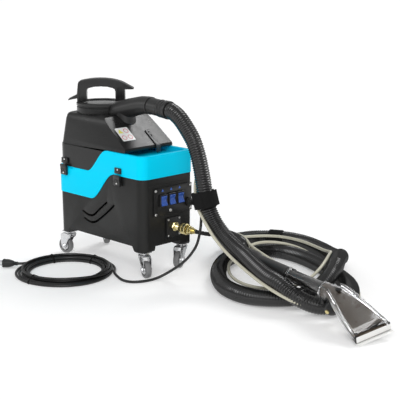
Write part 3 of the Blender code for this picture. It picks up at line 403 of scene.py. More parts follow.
M = {
    "housing": surface("housing", (0.009, 0.009, 0.0085), 0.40, tint=(0.012, 0.012, 0.0115), grain=0.5,
                       dust=0.02, shine=0.30),
    "tank": surface("tank", (0.008, 0.008, 0.008), 0.30, tint=(0.012, 0.012, 0.012), grain=0.3, dust=0.015,
                    shine=0.34),
    "blue": surface("blue", (0.0, 0.66, 0.97), 0.36, tint=(0.0, 0.72, 1.0), grain=0.35, rough_spread=0.05,
                    shine=0.05),
    "black": surface("black", (0.010, 0.010, 0.010), 0.32, grain=0.3, dust=0.02, shine=0.45),
    "elbow": surface("elbow", (0.012, 0.012, 0.012), 0.34, grain=0.3, dust=0.03, shine=0.45),
    "hose": surface("hose", (0.010, 0.010, 0.010), 0.24, tint=(0.014, 0.014, 0.014), rough_spread=0.04,
                    shine=0.62),
    "cream": surface("cream", (0.50, 0.48, 0.38), 0.40, tint=(0.60, 0.58, 0.47), coat=0.15, shine=0.3),
    "sleeve": surface("sleeve", (0.010, 0.010, 0.010), 0.62, grain=0.5, grain_scale=2200.0, shine=0.3),
    "cord": surface("cord", (0.010, 0.010, 0.010), 0.36, tint=(0.016, 0.016, 0.016), grain=0.25,
                    shine=0.45),
    "plug": surface("plug", (0.010, 0.010, 0.010), 0.45, grain=0.4, shine=0.4),
    "web": surface("web", (0.006, 0.006, 0.006), 0.90, tint=(0.012, 0.012, 0.012), tint_scale=90.0,
                   grain=1.0, grain_scale=2600.0, shine=0.15),
    "tyre": surface("tyre", (0.16, 0.16, 0.165), 0.6, tint=(0.22, 0.22, 0.22), tint_scale=30.0, grain=0.4),
    "zinc": surface("zinc", (0.60, 0.61, 0.63), 0.24, 1.0, tint=(0.72, 0.72, 0.72), tint_scale=40.0,
                    grain=0.12, grain_scale=500.0, rough_spread=0.12),
    "brass": surface("brass", (0.68, 0.58, 0.27), 0.24, 1.0, tint=(0.82, 0.72, 0.38), tint_scale=80.0,
                     rough_spread=0.08),
    "panel": surface("panel", (0.008, 0.008, 0.008), 0.34, grain=0.25, shine=0.4),
    "dark": surface("dark", (0.004, 0.004, 0.004), 0.6, shine=0.2),
    "white": surface("white", (0.80, 0.80, 0.78), 0.35, tint=(0.88, 0.88, 0.86)),
    "clear": surface("clear", (0.97, 0.97, 0.98), 0.05, clear=1.0, ior=1.46, tint=(0.93, 0.94, 0.95),
                     rough_spread=0.03),
    "motor": surface("motor", (0.18, 0.18, 0.19), 0.5, 0.6, grain=0.3),
    "label": surface("label", (0.80, 0.80, 0.79), 0.35, tint=(0.86, 0.86, 0.85)),
    "label_red": surface("label_red", (0.62, 0.16, 0.20), 0.4, tint=(0.70, 0.22, 0.26)),
    "label_yellow": surface("label_yellow", (0.72, 0.70, 0.12), 0.4, tint=(0.80, 0.78, 0.18)),
    "strap": surface("strap", (0.050, 0.050, 0.052), 0.36, 0.3, tint=(0.075, 0.075, 0.075), tint_scale=60.0,
                     grain=0.3),
    "smoked": surface("smoked", (0.30, 0.31, 0.31), 0.08, clear=0.80, tint=(0.34, 0.34, 0.34),
                      rough_spread=0.04),
    # Grey-brown for the liner inside the clear head; it makes the head read darker and browner inside.
    "smoke": surface("smoke", (0.115, 0.090, 0.066), 0.30, tint=(0.150, 0.120, 0.090), tint_scale=25.0,
                     grain=0.2, rough_spread=0.12),
    # Near-black brown for the liner inside the clear barrel; it makes the barrel read darker inside.
    "barrel_inner_dark": surface("barrel_inner_dark", (0.020, 0.019, 0.017), 0.30, tint=(0.050, 0.047, 0.042), tint_scale=25.0,
                    grain=0.2, rough_spread=0.12),
    "screw": surface("screw", (0.62, 0.62, 0.61), 0.28, 1.0, tint=(0.74, 0.74, 0.72), tint_scale=90.0,
                     rough_spread=0.1),
    "hub": surface("hub", (0.55, 0.56, 0.57), 0.35, 0.85, tint=(0.68, 0.68, 0.68), tint_scale=60.0),
    "lamp": surface("lamp", (0.62, 0.62, 0.60), 0.2, clear=0.3, tint=(0.7, 0.7, 0.68)),
    "mark": surface("mark", (0.03, 0.12, 0.50), 0.4, tint=(0.05, 0.15, 0.56)),
    "switch": surface("switch", (0.020, 0.075, 0.36), 0.28, tint=(0.04, 0.12, 0.46), coat=0.3,
                      rough_spread=0.05),
}


# ------------------------------------------------------- camera, light and floor
LENS_MM = 97.2
VIEW_TURN = -44.49
VIEW_PITCH = 13.03
EYE_AT = (-2.104, -2.476, 0.940)
FLOOR_HALF = 60.0
FLOOR_GLOW = 0.27
SKY_STRENGTH = 0.42
KEY_SUN, SLOPE_SUN, FRONT_SUN, EDGE_BOX = 0.25, 1.05, 1.25, 5.0


def stage():
    scene = bpy.context.scene
    scene.view_settings.view_transform = "Standard"
    camera = bpy.data.cameras.new("camera")
    camera.sensor_width = 36.0
    camera.lens = LENS_MM
    camera.clip_end = 200.0
    eye = bpy.data.objects.new("camera", camera)
    scene.collection.objects.link(eye)
    azimuth = math.radians(VIEW_TURN)
    pitch = math.radians(VIEW_PITCH)
    back = Vector((math.sin(azimuth) * math.cos(pitch), -math.cos(azimuth) * math.cos(pitch),
                   math.sin(pitch)))
    right = Vector((math.cos(azimuth), math.sin(azimuth), 0.0))
    up = back.cross(right)
    turn = Matrix((right, up, back)).transposed().to_4x4()
    eye.matrix_world = Matrix.Translation(Vector(EYE_AT) + HOME) @ turn
    scene.camera = eye

    ground = bmesh.new()
    bmesh.ops.create_grid(ground, x_segments=1, y_segments=1, size=FLOOR_HALF)
    floor = raw_object("floor", ground)
    floor.location.z = -0.0002
    paper = surface("floor_paper", (0.80, 0.80, 0.80), 0.8, tint=(0.82, 0.82, 0.82), tint_scale=0.7,
                    shine=0.1)
    paper.node_tree.nodes["Principled BSDF"].inputs["Emission Color"].default_value = (1.0, 1.0, 1.0, 1.0)
    paper.node_tree.nodes["Principled BSDF"].inputs["Emission Strength"].default_value = FLOOR_GLOW
    floor.data.materials.append(paper)

    sky = bpy.data.worlds.new("sky")
    scene.world = sky
    sky.use_nodes = True
    sky.node_tree.nodes["Background"].inputs["Color"].default_value = (1.0, 1.0, 1.0, 1.0)
    sky.node_tree.nodes["Background"].inputs["Strength"].default_value = SKY_STRENGTH

    def sun(name, energy, direction, angle):
        lamp = bpy.data.lights.new(name, "SUN")
        lamp.energy = energy
        lamp.angle = math.radians(angle)
        obj = bpy.data.objects.new(name, lamp)
        obj.matrix_world = along([-c for c in direction], (0, 0, 3))
        scene.collection.objects.link(obj)

    def softbox(name, energy, size, at, aim):
        lamp = bpy.data.lights.new(name, "AREA")
        lamp.energy = energy
        lamp.shape = "RECTANGLE"
        lamp.size, lamp.size_y = size
        obj = bpy.data.objects.new(name, lamp)
        look = (Vector(at) - Vector(aim)).normalized()
        obj.matrix_world = along(look, Vector(at))
        scene.collection.objects.link(obj)

    sun("key_sun", KEY_SUN, (0.55, -0.25, -1.0), 50.0)
    sun("slope_sun", SLOPE_SUN, (-0.66, -0.03, -0.75), 24.0)
    sun("front_sun", FRONT_SUN, (0.60, 0.60, -0.52), 30.0)
    softbox("edge", EDGE_BOX, (0.5, 1.4), (-1.6, 1.9, 1.3), (0.0, 0.4, 0.3))


# ----------------------------------------------------------------- the hand tool's frame
def tool_matrix():
    turn = Matrix.Rotation(math.radians(-TOOL_YAW), 4, "Z")
    roll = Matrix.Rotation(math.radians(-TOOL_ROLL), 4, "Y")
    return Matrix.Translation(TOOL_LIP) @ turn @ roll


TOOL = tool_matrix()


def tool_point(x, y, z):
    return TOOL @ Vector((x, y, z))


# ------------------------------------------------------------------ hose and cords
HOSE_ROUTE = [
    (0.000, -0.2100, 0.4892), (0.000, -0.240, 0.479), (0.000, -0.275, 0.450), (0.000, -0.308, 0.412),
    (0.000, -0.332, 0.358), (0.001, -0.346, 0.300), (0.005, -0.354, 0.250), (0.009, -0.370, 0.205),
    (0.013, -0.400, 0.165), (0.014, -0.440, 0.137), (0.008, -0.495, 0.115), (-0.008, -0.555, 0.097),
    (-0.019, -0.605, 0.084), (-0.023, -0.648, 0.0765), (-0.018, -0.700, 0.054), (0.004, -0.748, 0.030),
    (0.055, -0.780, 0.0245), (0.135, -0.770, 0.0245), (0.210, -0.718, 0.0245), (0.262, -0.645, 0.0245),
    (0.298, -0.570, 0.0245), (0.328, -0.495, 0.0245), (0.350, -0.420, 0.0245), (0.354, -0.345, 0.0245),
    (0.325, -0.288, 0.0245), (0.258, -0.262, 0.0245), (0.170, -0.280, 0.0245), (0.085, -0.330, 0.0245),
    (0.010, -0.402, 0.0245), (-0.034, -0.468, 0.0245), (-0.050, -0.530, 0.0245), (-0.045, -0.586, 0.0245),
    (-0.016, -0.635, 0.0245), (0.032, -0.668, 0.0250), (0.088, -0.688, 0.0340), (0.140, -0.690, 0.0560),
    (0.195, -0.674, 0.0760), (0.252, -0.638, 0.0800), (0.312, -0.600, 0.0690), (0.372, -0.552, 0.0450),
    (0.425, -0.482, 0.0270), (0.464, -0.398, 0.0245), (0.484, -0.312, 0.0245), (0.472, -0.232, 0.0245),
    (0.425, -0.172, 0.0245), (0.356, -0.149, 0.0245), (0.288, -0.162, 0.0330), (0.240, -0.196, 0.0560),
    (0.206, -0.245, 0.0780), (0.176, -0.305, 0.0860), (0.144, -0.362, 0.0870),
]
LINE_ANGLES = ((0.0, -40.0), (0.10, -40.0), (0.16, -20.0), (0.36, -18.0), (0.46, 150.0), (1.0, 150.0))
LINE_LEAVES = 0.106
COUPLER_X = 0.020
COUPLER_Y = FACE_Y - 0.003 - GAP
COUPLER_Z = 0.141
COUPLER_NECK = 0.060
NIPPLE_END = COUPLER_Y - COUPLER_NECK - GAP - 0.034
SLEEVE_ROUTE = [(COUPLER_X, NIPPLE_END - GAP, COUPLER_Z), (0.0212, -0.3120, 0.1408),
                (0.0300, -0.3300, 0.1390),
                (0.0470, -0.3440, 0.1365), (0.0660, -0.3510, 0.1350)]
LINE_RISE = [(0.0810, -0.3510, 0.1410), (0.0850, -0.3400, 0.1620), (0.0760, -0.3210, 0.1950),
             (0.0660, -0.3130, 0.2350), (0.0600, -0.3130, 0.2800), (0.0500, -0.3180, 0.3120),
             (0.0330, -0.3160, 0.3300), (0.0130, -0.3140, 0.3240), (0.0010, -0.3155, 0.2990),
             (-0.0065, -0.3208, 0.2680), (-0.0065, -0.3262, 0.2450), (-0.0072, -0.3330, 0.2220)]


def squared_ends(path, leaving, arriving):
    out = np.array(leaving) / np.linalg.norm(leaving)
    into = np.array(arriving) / np.linalg.norm(arriving)
    return np.vstack([path[:1], (path[0] + out * STUB)[None], path[1:-1], (path[-1] - into * STUB)[None],
                      path[-1:]])


def eased(path, rounds=2):
    """Evens out the small corners of a route read at close spacing; the ends stay put."""
    out = path.copy()
    for _ in range(rounds):
        out[1:-1] = 0.25 * out[:-2] + 0.5 * out[1:-1] + 0.25 * out[2:]
    return out


def hose_points(spacing):
    end = tool_point(0, TOOL_END_Y + GAP * 2, TOOL_AXIS_Z)
    before = tool_point(0, TOOL_END_Y + 0.045, TOOL_AXIS_Z - 0.001)
    path = smooth_route(HOSE_ROUTE + [tuple(before), tuple(end)], 0.042)
    path = squared_ends(path, (0.0, -0.08, -0.005), tool_point(0, -1, 0) - tool_point(0, 0, 0))
    return eased(smooth_route([tuple(p) for p in path], spacing), 4)


RIB_PITCH = 0.0068


def vacuum_hose():
    """Ribbed hose: rings every few millimetres, swollen by a fraction of the wall."""
    step = RIB_PITCH / 4
    path = hose_points(step)
    shape = (0.0, -0.0016, -0.0028, -0.0016)
    plain = int(0.004 / step)
    radii = [HOSE_R - 0.0002 + (shape[i % 4] if plain < i < len(path) - plain else -0.0008)
             for i in range(len(path))]
    obj = piece("vacuum_hose_ribbed", tube_bm(path, radii, 22), M["hose"], "machine",
                ("vacuum_hose",), smooth=80)
    centre = hose_points(0.02)


def riding_path(first, last):
    path = smooth_route([tuple(p) for p in hose_points(0.042)], 0.012)
    tangent = np.gradient(path, axis=0)
    tangent /= np.linalg.norm(tangent, axis=1)[:, None]
    share = np.linspace(0.0, 1.0, len(path))
    angle = np.radians(np.interp(share, [a for a, _ in LINE_ANGLES], [b for _, b in LINE_ANGLES]))
    out = []
    for point, axis, at, turn in zip(path, tangent, share, angle):
        if first <= at <= last:
            side = np.cross(axis, (0, 0, 1))
            side /= np.linalg.norm(side)
            up = np.cross(side, axis)
            clear = HOSE_R + LINE_R + (0.0022 if at < 0.38 else 0.0012)
            out.append(point + clear * (math.cos(turn) * side + math.sin(turn) * up))
    return out[::3]


def solution_line():
    """Cream line in one run: coupler, bend relief, wrap, along the hose, valve."""
    start = SLEEVE_ROUTE + LINE_RISE
    ball = Vector((0, VALVE_Y, TOOL_AXIS_Z - VALVE_DROP))
    aim = Vector((0.45, 0.75, 0.48)).normalized()
    axis = TOOL_AXIS_Z
    tail = [(0.0310, 0.520, axis + 0.006), (0.0280, 0.430, axis - 0.004), (0.0260, 0.340, axis - 0.008),
            (0.0240, 0.270, axis - 0.010), (0.0215, 0.225, axis - 0.016), tuple(ball + aim * 0.032),
            tuple(ball + aim * (VALVE_R + 0.0006))]
    route = start + [tuple(p) for p in riding_path(LINE_LEAVES,
                                                   0.985)] + [tuple(tool_point(*p)) for p in tail]
    path = eased(smooth_route(route, 0.006), 6)
    line = curve_piece("solution_line_run", path, LINE_R, M["cream"], "machine",
                       ("solution_line",))
    relief = smooth_route(SLEEVE_ROUTE, 0.0025)
    radii = [0.0062 - 0.0006 * (i % 4 == 3) for i in range(len(relief))]
    sleeve = piece("line_bend_relief", tube_bm(relief, radii, 16), M["sleeve"], "machine",
                   ("hose_sleeve",), smooth=60)


CORD_ROUTE = [
    (0.0800, FACE_Y - 0.0025 - GAP - 0.0365, 0.206), (0.0800, -0.2520, 0.2060), (0.0795, -0.2700, 0.2130),
    (0.0785, -0.2805, 0.2330), (0.0780, -0.2838, 0.2670), (0.0700, -0.2885, 0.2940),
              (0.0490, -0.3020, 0.3060),
    (0.0280, -0.3160, 0.2960), (0.0190, -0.3215, 0.2790), (0.0176, -0.3235, 0.2660),
              (0.0162, -0.3262, 0.2450),
    (0.0130, -0.3300, 0.2230),
    (0.0050, -0.3350, 0.2000), (-0.0010, -0.3390, 0.1750), (-0.0080, -0.3410, 0.1480),
    (-0.0150, -0.3370, 0.1180), (-0.0180, -0.3250, 0.0960), (-0.0230, -0.2950, 0.0610),
    (-0.0420, -0.2550, 0.0260), (-0.0770, -0.2310, 0.0060), (-0.1200, -0.2220, 0.0043),
    (-0.1480, -0.2040, 0.0043), (-0.1560, -0.1760, 0.0043), (-0.1480, -0.1460, 0.0043),
]
# Turns of the coil, outside to inside and then up: radius and height of the cord's centre.
LANES = ((0.1480, 0.0043), (0.1385, 0.0043), (0.1290, 0.0043), (0.1195, 0.0043), (0.1105, 0.0043),
         (0.1150, 0.0114), (0.1245, 0.0114), (0.1290, 0.0186), (0.1370, 0.0128))
FIRST_ANGLE, LAST_ANGLE = -50.0, 92.0
TIE_ANGLES = (10.0, 72.0, 187.0)
PLUG_BEND = 0.038


def coil_point(angle, radius, height):
    wobble = 1.0 + 0.012 * math.sin(2 * angle + 0.7) + 0.006 * math.sin(3 * angle)
    return (COIL_CENTRE[0] + radius * wobble * math.cos(angle),
            COIL_CENTRE[1] + radius * wobble * math.sin(angle), height)


def power_cord():
    """Mains lead: gland, wrap, floor, nine turns of coil, then across the coil to its plug."""
    points = list(CORD_ROUTE)
    first = math.radians(FIRST_ANGLE)
    per_turn = 24
    for k in range((len(LANES) - 1) * per_turn + round((LAST_ANGLE - FIRST_ANGLE) / 360.0 * per_turn) + 1):
        turn, at = divmod(k, per_turn)
        radius, height = LANES[turn]
        if turn + 1 < len(LANES) and at > per_turn - 5:
            share = (at - (per_turn - 5)) / 5
            share = share * share * (3 - 2 * share)
            radius += (LANES[turn + 1][0] - radius) * share
            height += (LANES[turn + 1][1] - height) * share
        points.append(coil_point(first + 2 * math.pi * k / per_turn, radius, height))
    yaw = math.radians(PLUG_YAW)
    back = Vector((-math.cos(yaw), -math.sin(yaw), 0.0))
    plug_at = Vector(PLUG_AT)
    aside = Vector((back.y, -back.x, 0.0))
    for turn in (56.0, 38.0, 19.0):
        t = math.radians(turn)
        points.append(tuple(plug_at + PLUG_BEND * (math.sin(t) * back - (1.0 - math.cos(t)) * aside)))
    points += [tuple(plug_at + back * 0.003), tuple(plug_at)]
    path = eased(smooth_route(points, 0.004), 5)
    path[:, 2] = np.maximum(path[:, 2], 0.0041)
    cord = curve_piece("power_cord_run", path, CORD_R, M["cord"], "machine",
                       ("power_cord", "power_cord_coil"))
    on_cord = [mains_plug()] + coil_ties()


def mains_plug():
    rings = []
    for x, w, h, r in ((0.0, 0.0050, 0.0050, 0.0045), (0.004, 0.0062, 0.0060, 0.0055),
                       (0.0055, 0.0050, 0.0050, 0.0045),
                       (0.008, 0.0066, 0.0062, 0.0055), (0.0095, 0.0054, 0.0052, 0.0045),
                       (0.012, 0.0072, 0.0066, 0.006),
                       (0.018, 0.0095, 0.0090, 0.007), (0.028, 0.0125, 0.0110, 0.008),
                       (0.036, 0.0132, 0.0115, 0.008),
                       (0.040, 0.0126, 0.0110, 0.008), (0.0415, 0.0134, 0.0115, 0.007),
                       (0.0460, 0.0134, 0.0115, 0.007)):
        rings.append([(x, y, z) for y, z in rounded_rect(w, h, min(r, w * 0.95, h * 0.95), 6)])
    body = loft_bm(rings)
    for face in body.faces:
        face.material_index = 0
    pins = [box_bm((0.018, 0.0016, 0.0064), (0.0545, dy, 0.003)) for dy in (-0.0063, 0.0063)]
    pins.append(moved(turned_bm([(0.0024, 0.0), (0.0024, 0.018), (0.0016, 0.0203)], 16),
                      along((1, 0, 0), (0.0455, 0, -0.0055))))
    metal = merged(*pins)
    for face in metal.faces:
        face.material_index = 1
    place = Matrix.Translation(PLUG_AT) @ Matrix.Rotation(math.radians(PLUG_YAW), 4, "Z")
    obj = piece("mains_plug", moved(merged(body, metal), place), [M["plug"], M["zinc"]], "machine",
                ("plug",), smooth=45)
    return obj


def coil_ties():
    """Wire ties pulled round all the turns."""
    lanes = [(radius - COIL_R, height, CORD_R + 0.0006) for radius, height in LANES]
    ties = []
    for index, degrees in enumerate(TIE_ANGLES):
        a = math.radians(degrees)
        middle = COIL_R * (1.0 + 0.012 * math.sin(2 * a + 0.7) + 0.006 * math.sin(3 * a))
        rows = []
        for step, grow in ((-0.0025, 0.0004), (-0.0019, 0.0012), (0.0019, 0.0012), (0.0025, 0.0004),
                           (0.0019, 0.0), (-0.0019, 0.0)):
            rows.append([(COIL_CENTRE[0] + (middle + across) * math.cos(a) - step * math.sin(a),
                          COIL_CENTRE[1] + (middle + across) * math.sin(a) + step * math.cos(a),
                          max(z, 0.0003 - grow * 0.2)) for across, z in hull_outline(lanes, grow, 60)])
        ties.append(piece("coil_tie_" + str(index + 1), loft_bm(rows, closed=True), M["web"], "machine",
                          smooth=50))
    return ties


# ----------------------------------------------------------------- machine body
def seam_z(y, low, high, y_low, y_high):
    """Height of an S-shaped seam at station y."""
    t = min(max((y_low - y) / (y_low - y_high), 0.0), 1.0)
    t = t * t * (3 - 2 * t)
    return low + (high - low) * t


def base_seam(y):
    return seam_z(y, SEAM_LOW_Z, SEAM_HIGH_Z, 0.036, -0.072)


def blue_top(y):
    return seam_z(y, BLUE_REAR_Z, BLUE_FRONT_Z, 0.052, -0.040)


def stations():
    return [-0.26, -0.10] + [-0.080 + 0.005 * k for k in range(30)] + [0.100, 0.26]


def column(half_x, half_y, radius, low, high, taper=0.0, tight=None):
    bottom = rounded_rect(half_x - taper, half_y - taper, radius, 10, tight=tight)
    top = rounded_rect(half_x, half_y, radius, 10, tight=tight)
    return loft_bm([[(x, y, low) for x, y in bottom], [(x, y, high) for x, y in top]])


def vent_slot(side_x, which):
    """A swept vent with round ends: short flat run, then a rising tail."""
    centre = [(0.078, 0.160), (0.052, 0.152), (0.030, 0.154), (-0.002, 0.178), (-0.037, 0.204)]
    if which:
        centre = [(0.070, 0.138), (0.046, 0.131), (0.022, 0.134), (-0.020, 0.160), (-0.070, 0.200)]
    line = smooth_route([(y, z, 0.0) for y, z in centre], 0.006)[:, :2]
    run = np.gradient(line, axis=0)
    run /= np.linalg.norm(run, axis=1)[:, None]
    out = np.stack([-run[:, 1], run[:, 0]], axis=1) * 0.0034
    arc = [line[-1] + 0.0034 * (run[-1] * math.sin(t) + out[-1] / 0.0034 * math.cos(t))
           for t in (0.5, 1.0, 1.57, 2.1, 2.6)]
    tail = [line[0] - 0.0034 * (run[0] * math.sin(t) + out[0] / 0.0034 * math.cos(t))
            for t in (0.5, 1.0, 1.57, 2.1, 2.6)]
    outline = [tuple(p) for p in line + out] + [tuple(p) for p in arc]
    outline += [tuple(p) for p in (line - out)[::-1]] + [tuple(p) for p in tail]
    inner, outer = side_x * 0.085, side_x * 0.110
    return prism_bm(outline, "X", min(inner, outer), max(inner, outer))


def base_shell():
    """Black lower housing: corner feet, two swept vents a side, ledge above the panel."""
    body = raw_object("base_shell", column(WIDTH / 2, LENGTH / 2, CORNER_R, 0.05, 0.36, 0.002, TIGHT_R))
    outline = [(y, base_seam(y)) for y in stations()]
    outline += [(0.26, SKIRT_Z), (0.199, SKIRT_Z), (0.1975, FOOT_Z + 0.003), (0.194, FOOT_Z),
                (0.160, FOOT_Z), (0.156, FOOT_Z + 0.003), (0.149, SKIRT_Z)]
    outline += [(-y, z) for y, z in reversed(outline[-6:])] + [(-0.26, SKIRT_Z)]
    boolean(body, prism_bm(outline, "X", -0.15, 0.15), "INTERSECT")
    boolean(body, prism_bm([(-0.056, 0.04), (0.056, 0.04), (0.050, SKIRT_Z), (-0.050, SKIRT_Z)], "Y", -0.3,
                           0.3))
    cavity = [(0.184, 0.10), (0.184, 0.196), (0.050, 0.196), (-0.086, 0.282), (-0.184, 0.282),
              (-0.184, 0.10)]
    boolean(body, prism_bm(cavity, "X", -0.088, 0.088))
    boolean(body, box_bm((0.150, 0.280, 0.05), (0, 0, 0.088), 0.01))
    for side_x in (-1, 1):
        for which in (0, 1):
            boolean(body, vent_slot(side_x, which))
    for z in (0.2735, 0.2670):
        boolean(body, box_bm((0.150, 0.004, 0.0016), (0, -0.2005, z)))
    bevelled(body, 0.0011, 3, 28)
    finished(body, "base_shell", M["housing"], "machine", ("base_housing",))
    plug_bump = merged(*[moved(turned_bm([(0.008, -0.004), (0.008, 0.0), (0.0065, 0.002)], 24),
                               along((0, 0, -1), (side * 0.078, y, SKIRT_Z + 0.0004)))
                         for side in (-1, 1) for y in (-0.062, 0.062)])
    piece("skirt_screw_bosses", plug_bump, M["black"], "machine")


def blue_shell():
    """Blue middle tank with S-shaped seams, a well for the tank above and a rolled front rim."""
    body = raw_object("blue_shell", column(0.1012, 0.2012, 0.029, 0.15, 0.42, 0.0, TIGHT_R + 0.001))
    outline = [(y, blue_top(y)) for y in stations()]
    outline += [(y, base_seam(y) + GAP) for y in reversed(stations())]
    boolean(body, prism_bm(outline, "X", -0.15, 0.15), "INTERSECT")
    well = column(0.0885, 0.0745, 0.020, 0.346, 0.40)
    boolean(body, moved(well, Matrix.Translation((0, -0.1130, 0))))
    cavity = [(0.185, 0.222), (0.185, 0.275), (0.062, 0.275), (-0.060, 0.338), (-0.182, 0.338),
              (-0.182, 0.308), (-0.086, 0.308), (0.046, 0.222)]
    boolean(body, prism_bm(cavity, "X", -0.092, 0.092))
    for side in (-1, 1):
        boolean(body, box_bm((0.010, 0.060, 0.010), (side * 0.1012, 0.150, 0.289), 0.004))
    fill = moved(turned_bm([(0.022, 0.0), (0.022, 0.07)], 40), Matrix.Translation((0.045, -0.140, 0.30)))
    boolean(body, fill)
    bevelled(body, 0.0028, 4, 40)
    finished(body, "blue_shell", M["blue"], "machine", ("solution_tank",))


def tank_shell():
    """Black upper tank: wide lower bulge, narrower dome, sloped front and round neck."""
    body = raw_object("tank_shell", column(0.0996, 0.1996, 0.040, 0.24, BULGE_Z))
    outline = [(y, blue_top(y) + GAP) for y in stations() if y > -0.03]
    outline += [(0.26, BULGE_Z), (-0.026, BULGE_Z)]
    boolean(body, prism_bm(outline, "X", -0.15, 0.15), "INTERSECT")
    bevelled(body, 0.0100, 5, 40)
    rings = []
    for half_x, y_rear, z, r in ((0.0965, 0.1935, 0.345, 0.022), (0.0950, 0.190, 0.360, 0.022),
                                 (0.0935, 0.1865, 0.380, 0.022), (0.0905, 0.181, 0.418, 0.023),
                                 (0.0885, 0.179, 0.436, 0.024), (0.0860, 0.1765, 0.447, 0.024),
                                 (0.0825, 0.1730, 0.4528, 0.024), (0.0780, 0.1685, TANK_TOP_Z, 0.024)):
        y_front = -0.150
        ring = rounded_rect(half_x, (y_rear - y_front) / 2, r, 10, (0, (y_rear + y_front) / 2))
        rings.append([(x, y, z) for x, y in ring])
    dome = raw_object("dome", loft_bm(rings))
    slope = [(0.0476, 0.50), (-0.118, 0.3750), (-0.1195, 0.3695), (-0.1185, 0.3645), (-0.110, 0.3625),
             (-0.03, 0.3625), (0.26, 0.352), (0.26, 0.50)]
    boolean(dome, prism_bm(slope, "X", -0.15, 0.15), "INTERSECT")
    bevelled(dome, 0.0042, 4, 24)
    boolean(body, from_object(dome), "UNION")
    neck = moved(turned_bm([(NECK_R, 0.42), (NECK_R, LID_Z), (NECK_R - 0.002, LID_Z + 0.002)], 72),
                 Matrix.Translation((0, NECK_Y, 0)))
    boolean(body, neck, "UNION")
    room = [(0.168, 0.300), (0.168, 0.440), (-0.005, 0.440), (-0.090, 0.373), (-0.026, 0.369),
            (0.045, 0.300)]
    boolean(body, prism_bm(room, "X", -0.072, 0.072))
    boolean(body, moved(turned_bm([(0.060, 0.42), (0.060, 0.50)], 56), Matrix.Translation((0, NECK_Y, 0))))
    boolean(body, moved(turned_bm([(0.015, -0.03), (0.015, 0.06)], 32),
                        along((0, -0.28, 0.96), (0, -0.016, 0.425))))
    body.data.shade_smooth()
    body.data.set_sharp_from_angle(angle=math.radians(30))
    finished(body, "tank_shell", M["tank"], "machine", ("recovery_tank",))


def on_slope(x, share, lift=0.0):
    """Point on the tank's sloped front: share 0 at its top edge, 1 at its lower edge."""
    top = Vector((0, -0.0140, 0.4535))
    low = Vector((0, -0.1180, 0.3750))
    run = (low - top).normalized()
    normal = Vector((0, run.z, -run.y))
    if normal.z < 0:
        normal = -normal
    point = top.lerp(low, share) + normal * lift
    return Vector((x, point.y, point.z)), run, normal


def label():
    """Plain care label with four simple coloured shapes; no words or signs."""
    at, run, normal = on_slope(-0.0530, 0.56, 0.0006)
    frame_in = Matrix.Identity(4)
    frame_in.col[0][:3] = (1, 0, 0)
    frame_in.col[1][:3] = -run
    frame_in.col[2][:3] = normal
    frame_in.col[3][:3] = at
    sheet = prism_bm(rounded_rect(0.0240, 0.0270, 0.0030, 5), "Z", 0.0, 0.0004)
    piece("care_label", moved(sheet, frame_in), M["label"], "machine")
    shapes = []
    for dx, dy in ((-0.0112, -0.0130), (0.0112, -0.0130), (0.0112, 0.0130)):
        ring = turned_bm([(0.0086, 0.0), (0.0086, 0.00025), (0.0066, 0.00025), (0.0066, 0.0)], 32, True)
        shapes.append(moved(ring, Matrix.Translation((dx, dy, 0.0004))))
    piece("care_label_rings", moved(merged(*shapes), frame_in), M["label_red"], "machine")
    patch = prism_bm([(-0.0205, 0.0050), (-0.0020, 0.0050), (-0.0112, 0.0215)], "Z", 0.0004, 0.00065)
    piece("care_label_patch", moved(patch, frame_in), M["label_yellow"], "machine")


def strap():
    """Pressed metal strap with two holes, from the tank's slope to the blue tank."""
    slope = Vector((0, -0.106, -0.0800)).normalized()
    normal = Vector((0, -slope.z, slope.y))
    normal = -normal if normal.z < 0 else normal
    start = Vector((0, -0.070, 0.4115)) + normal * (GAP + 0.0002)
    bend = start + slope * 0.0635
    foot = Vector((0, bend.y - 0.0010, bend.z - 0.0200))
    thick = 0.0022
    outer = [start + normal * thick, bend + Vector((0, -thick, thick * 0.6)), foot + Vector((0, -thick, 0))]
    outline = [(p.y, p.z) for p in (start, bend, foot)] + [(p.y, p.z) for p in reversed(outer)]
    body = raw_object("strap", prism_bm(outline, "X", STRAP_X - 0.008, STRAP_X + 0.008))
    for run in (0.010, 0.024):
        at = start + slope * run + Vector((STRAP_X, 0, 0))
        hole = moved(turned_bm([(0.0026, -0.01), (0.0026, 0.01)], 24), along(normal, at))
        boolean(body, hole)
    bevelled(body, 0.0005, 2, 30)
    finished(body, "tank_strap", M["strap"], "machine", ("front_strap",))


# -------------------------------------------------------------- lid and handle
def lid_parts():
    profile = [(0.056, LID_BASE), (NECK_R - 0.001, LID_BASE), (NECK_R - 0.001, LID_BASE + 0.0018),
               (NECK_R - 0.0032, LID_BASE + 0.0022), (NECK_R - 0.0032, LID_BASE + 0.0036),
               (NECK_R + 0.001, LID_BASE + 0.0040), (NECK_R + 0.001, LID_BASE + 0.0092),
               (NECK_R - 0.0005, LID_BASE + 0.0108), (NECK_R - 0.0030, LID_TOP), (0.0600, LID_TOP),
               (0.0590, LID_TOP - 0.0022), (0.056, LID_TOP - 0.0022)]
    piece("lid_ring_fine", moved(turned_bm(profile, 96, True), Matrix.Translation((0, NECK_Y, 0))),
          M["black"],
          "lid", ("lid_ring",), smooth=30)
    window = [(0.0555, LID_BASE + 0.002), (0.0555, LID_TOP - 0.0045), (0.0545, LID_TOP - 0.0032),
              (0.046, LID_TOP - 0.0026), (0.020, LID_TOP - 0.0022), (0.001, LID_TOP - 0.0020)]
    piece("lid_window_fine", moved(turned_bm(window, 72), Matrix.Translation((0, NECK_Y, 0))), M["smoked"],
          "lid", ("lid_window",), smooth=30)


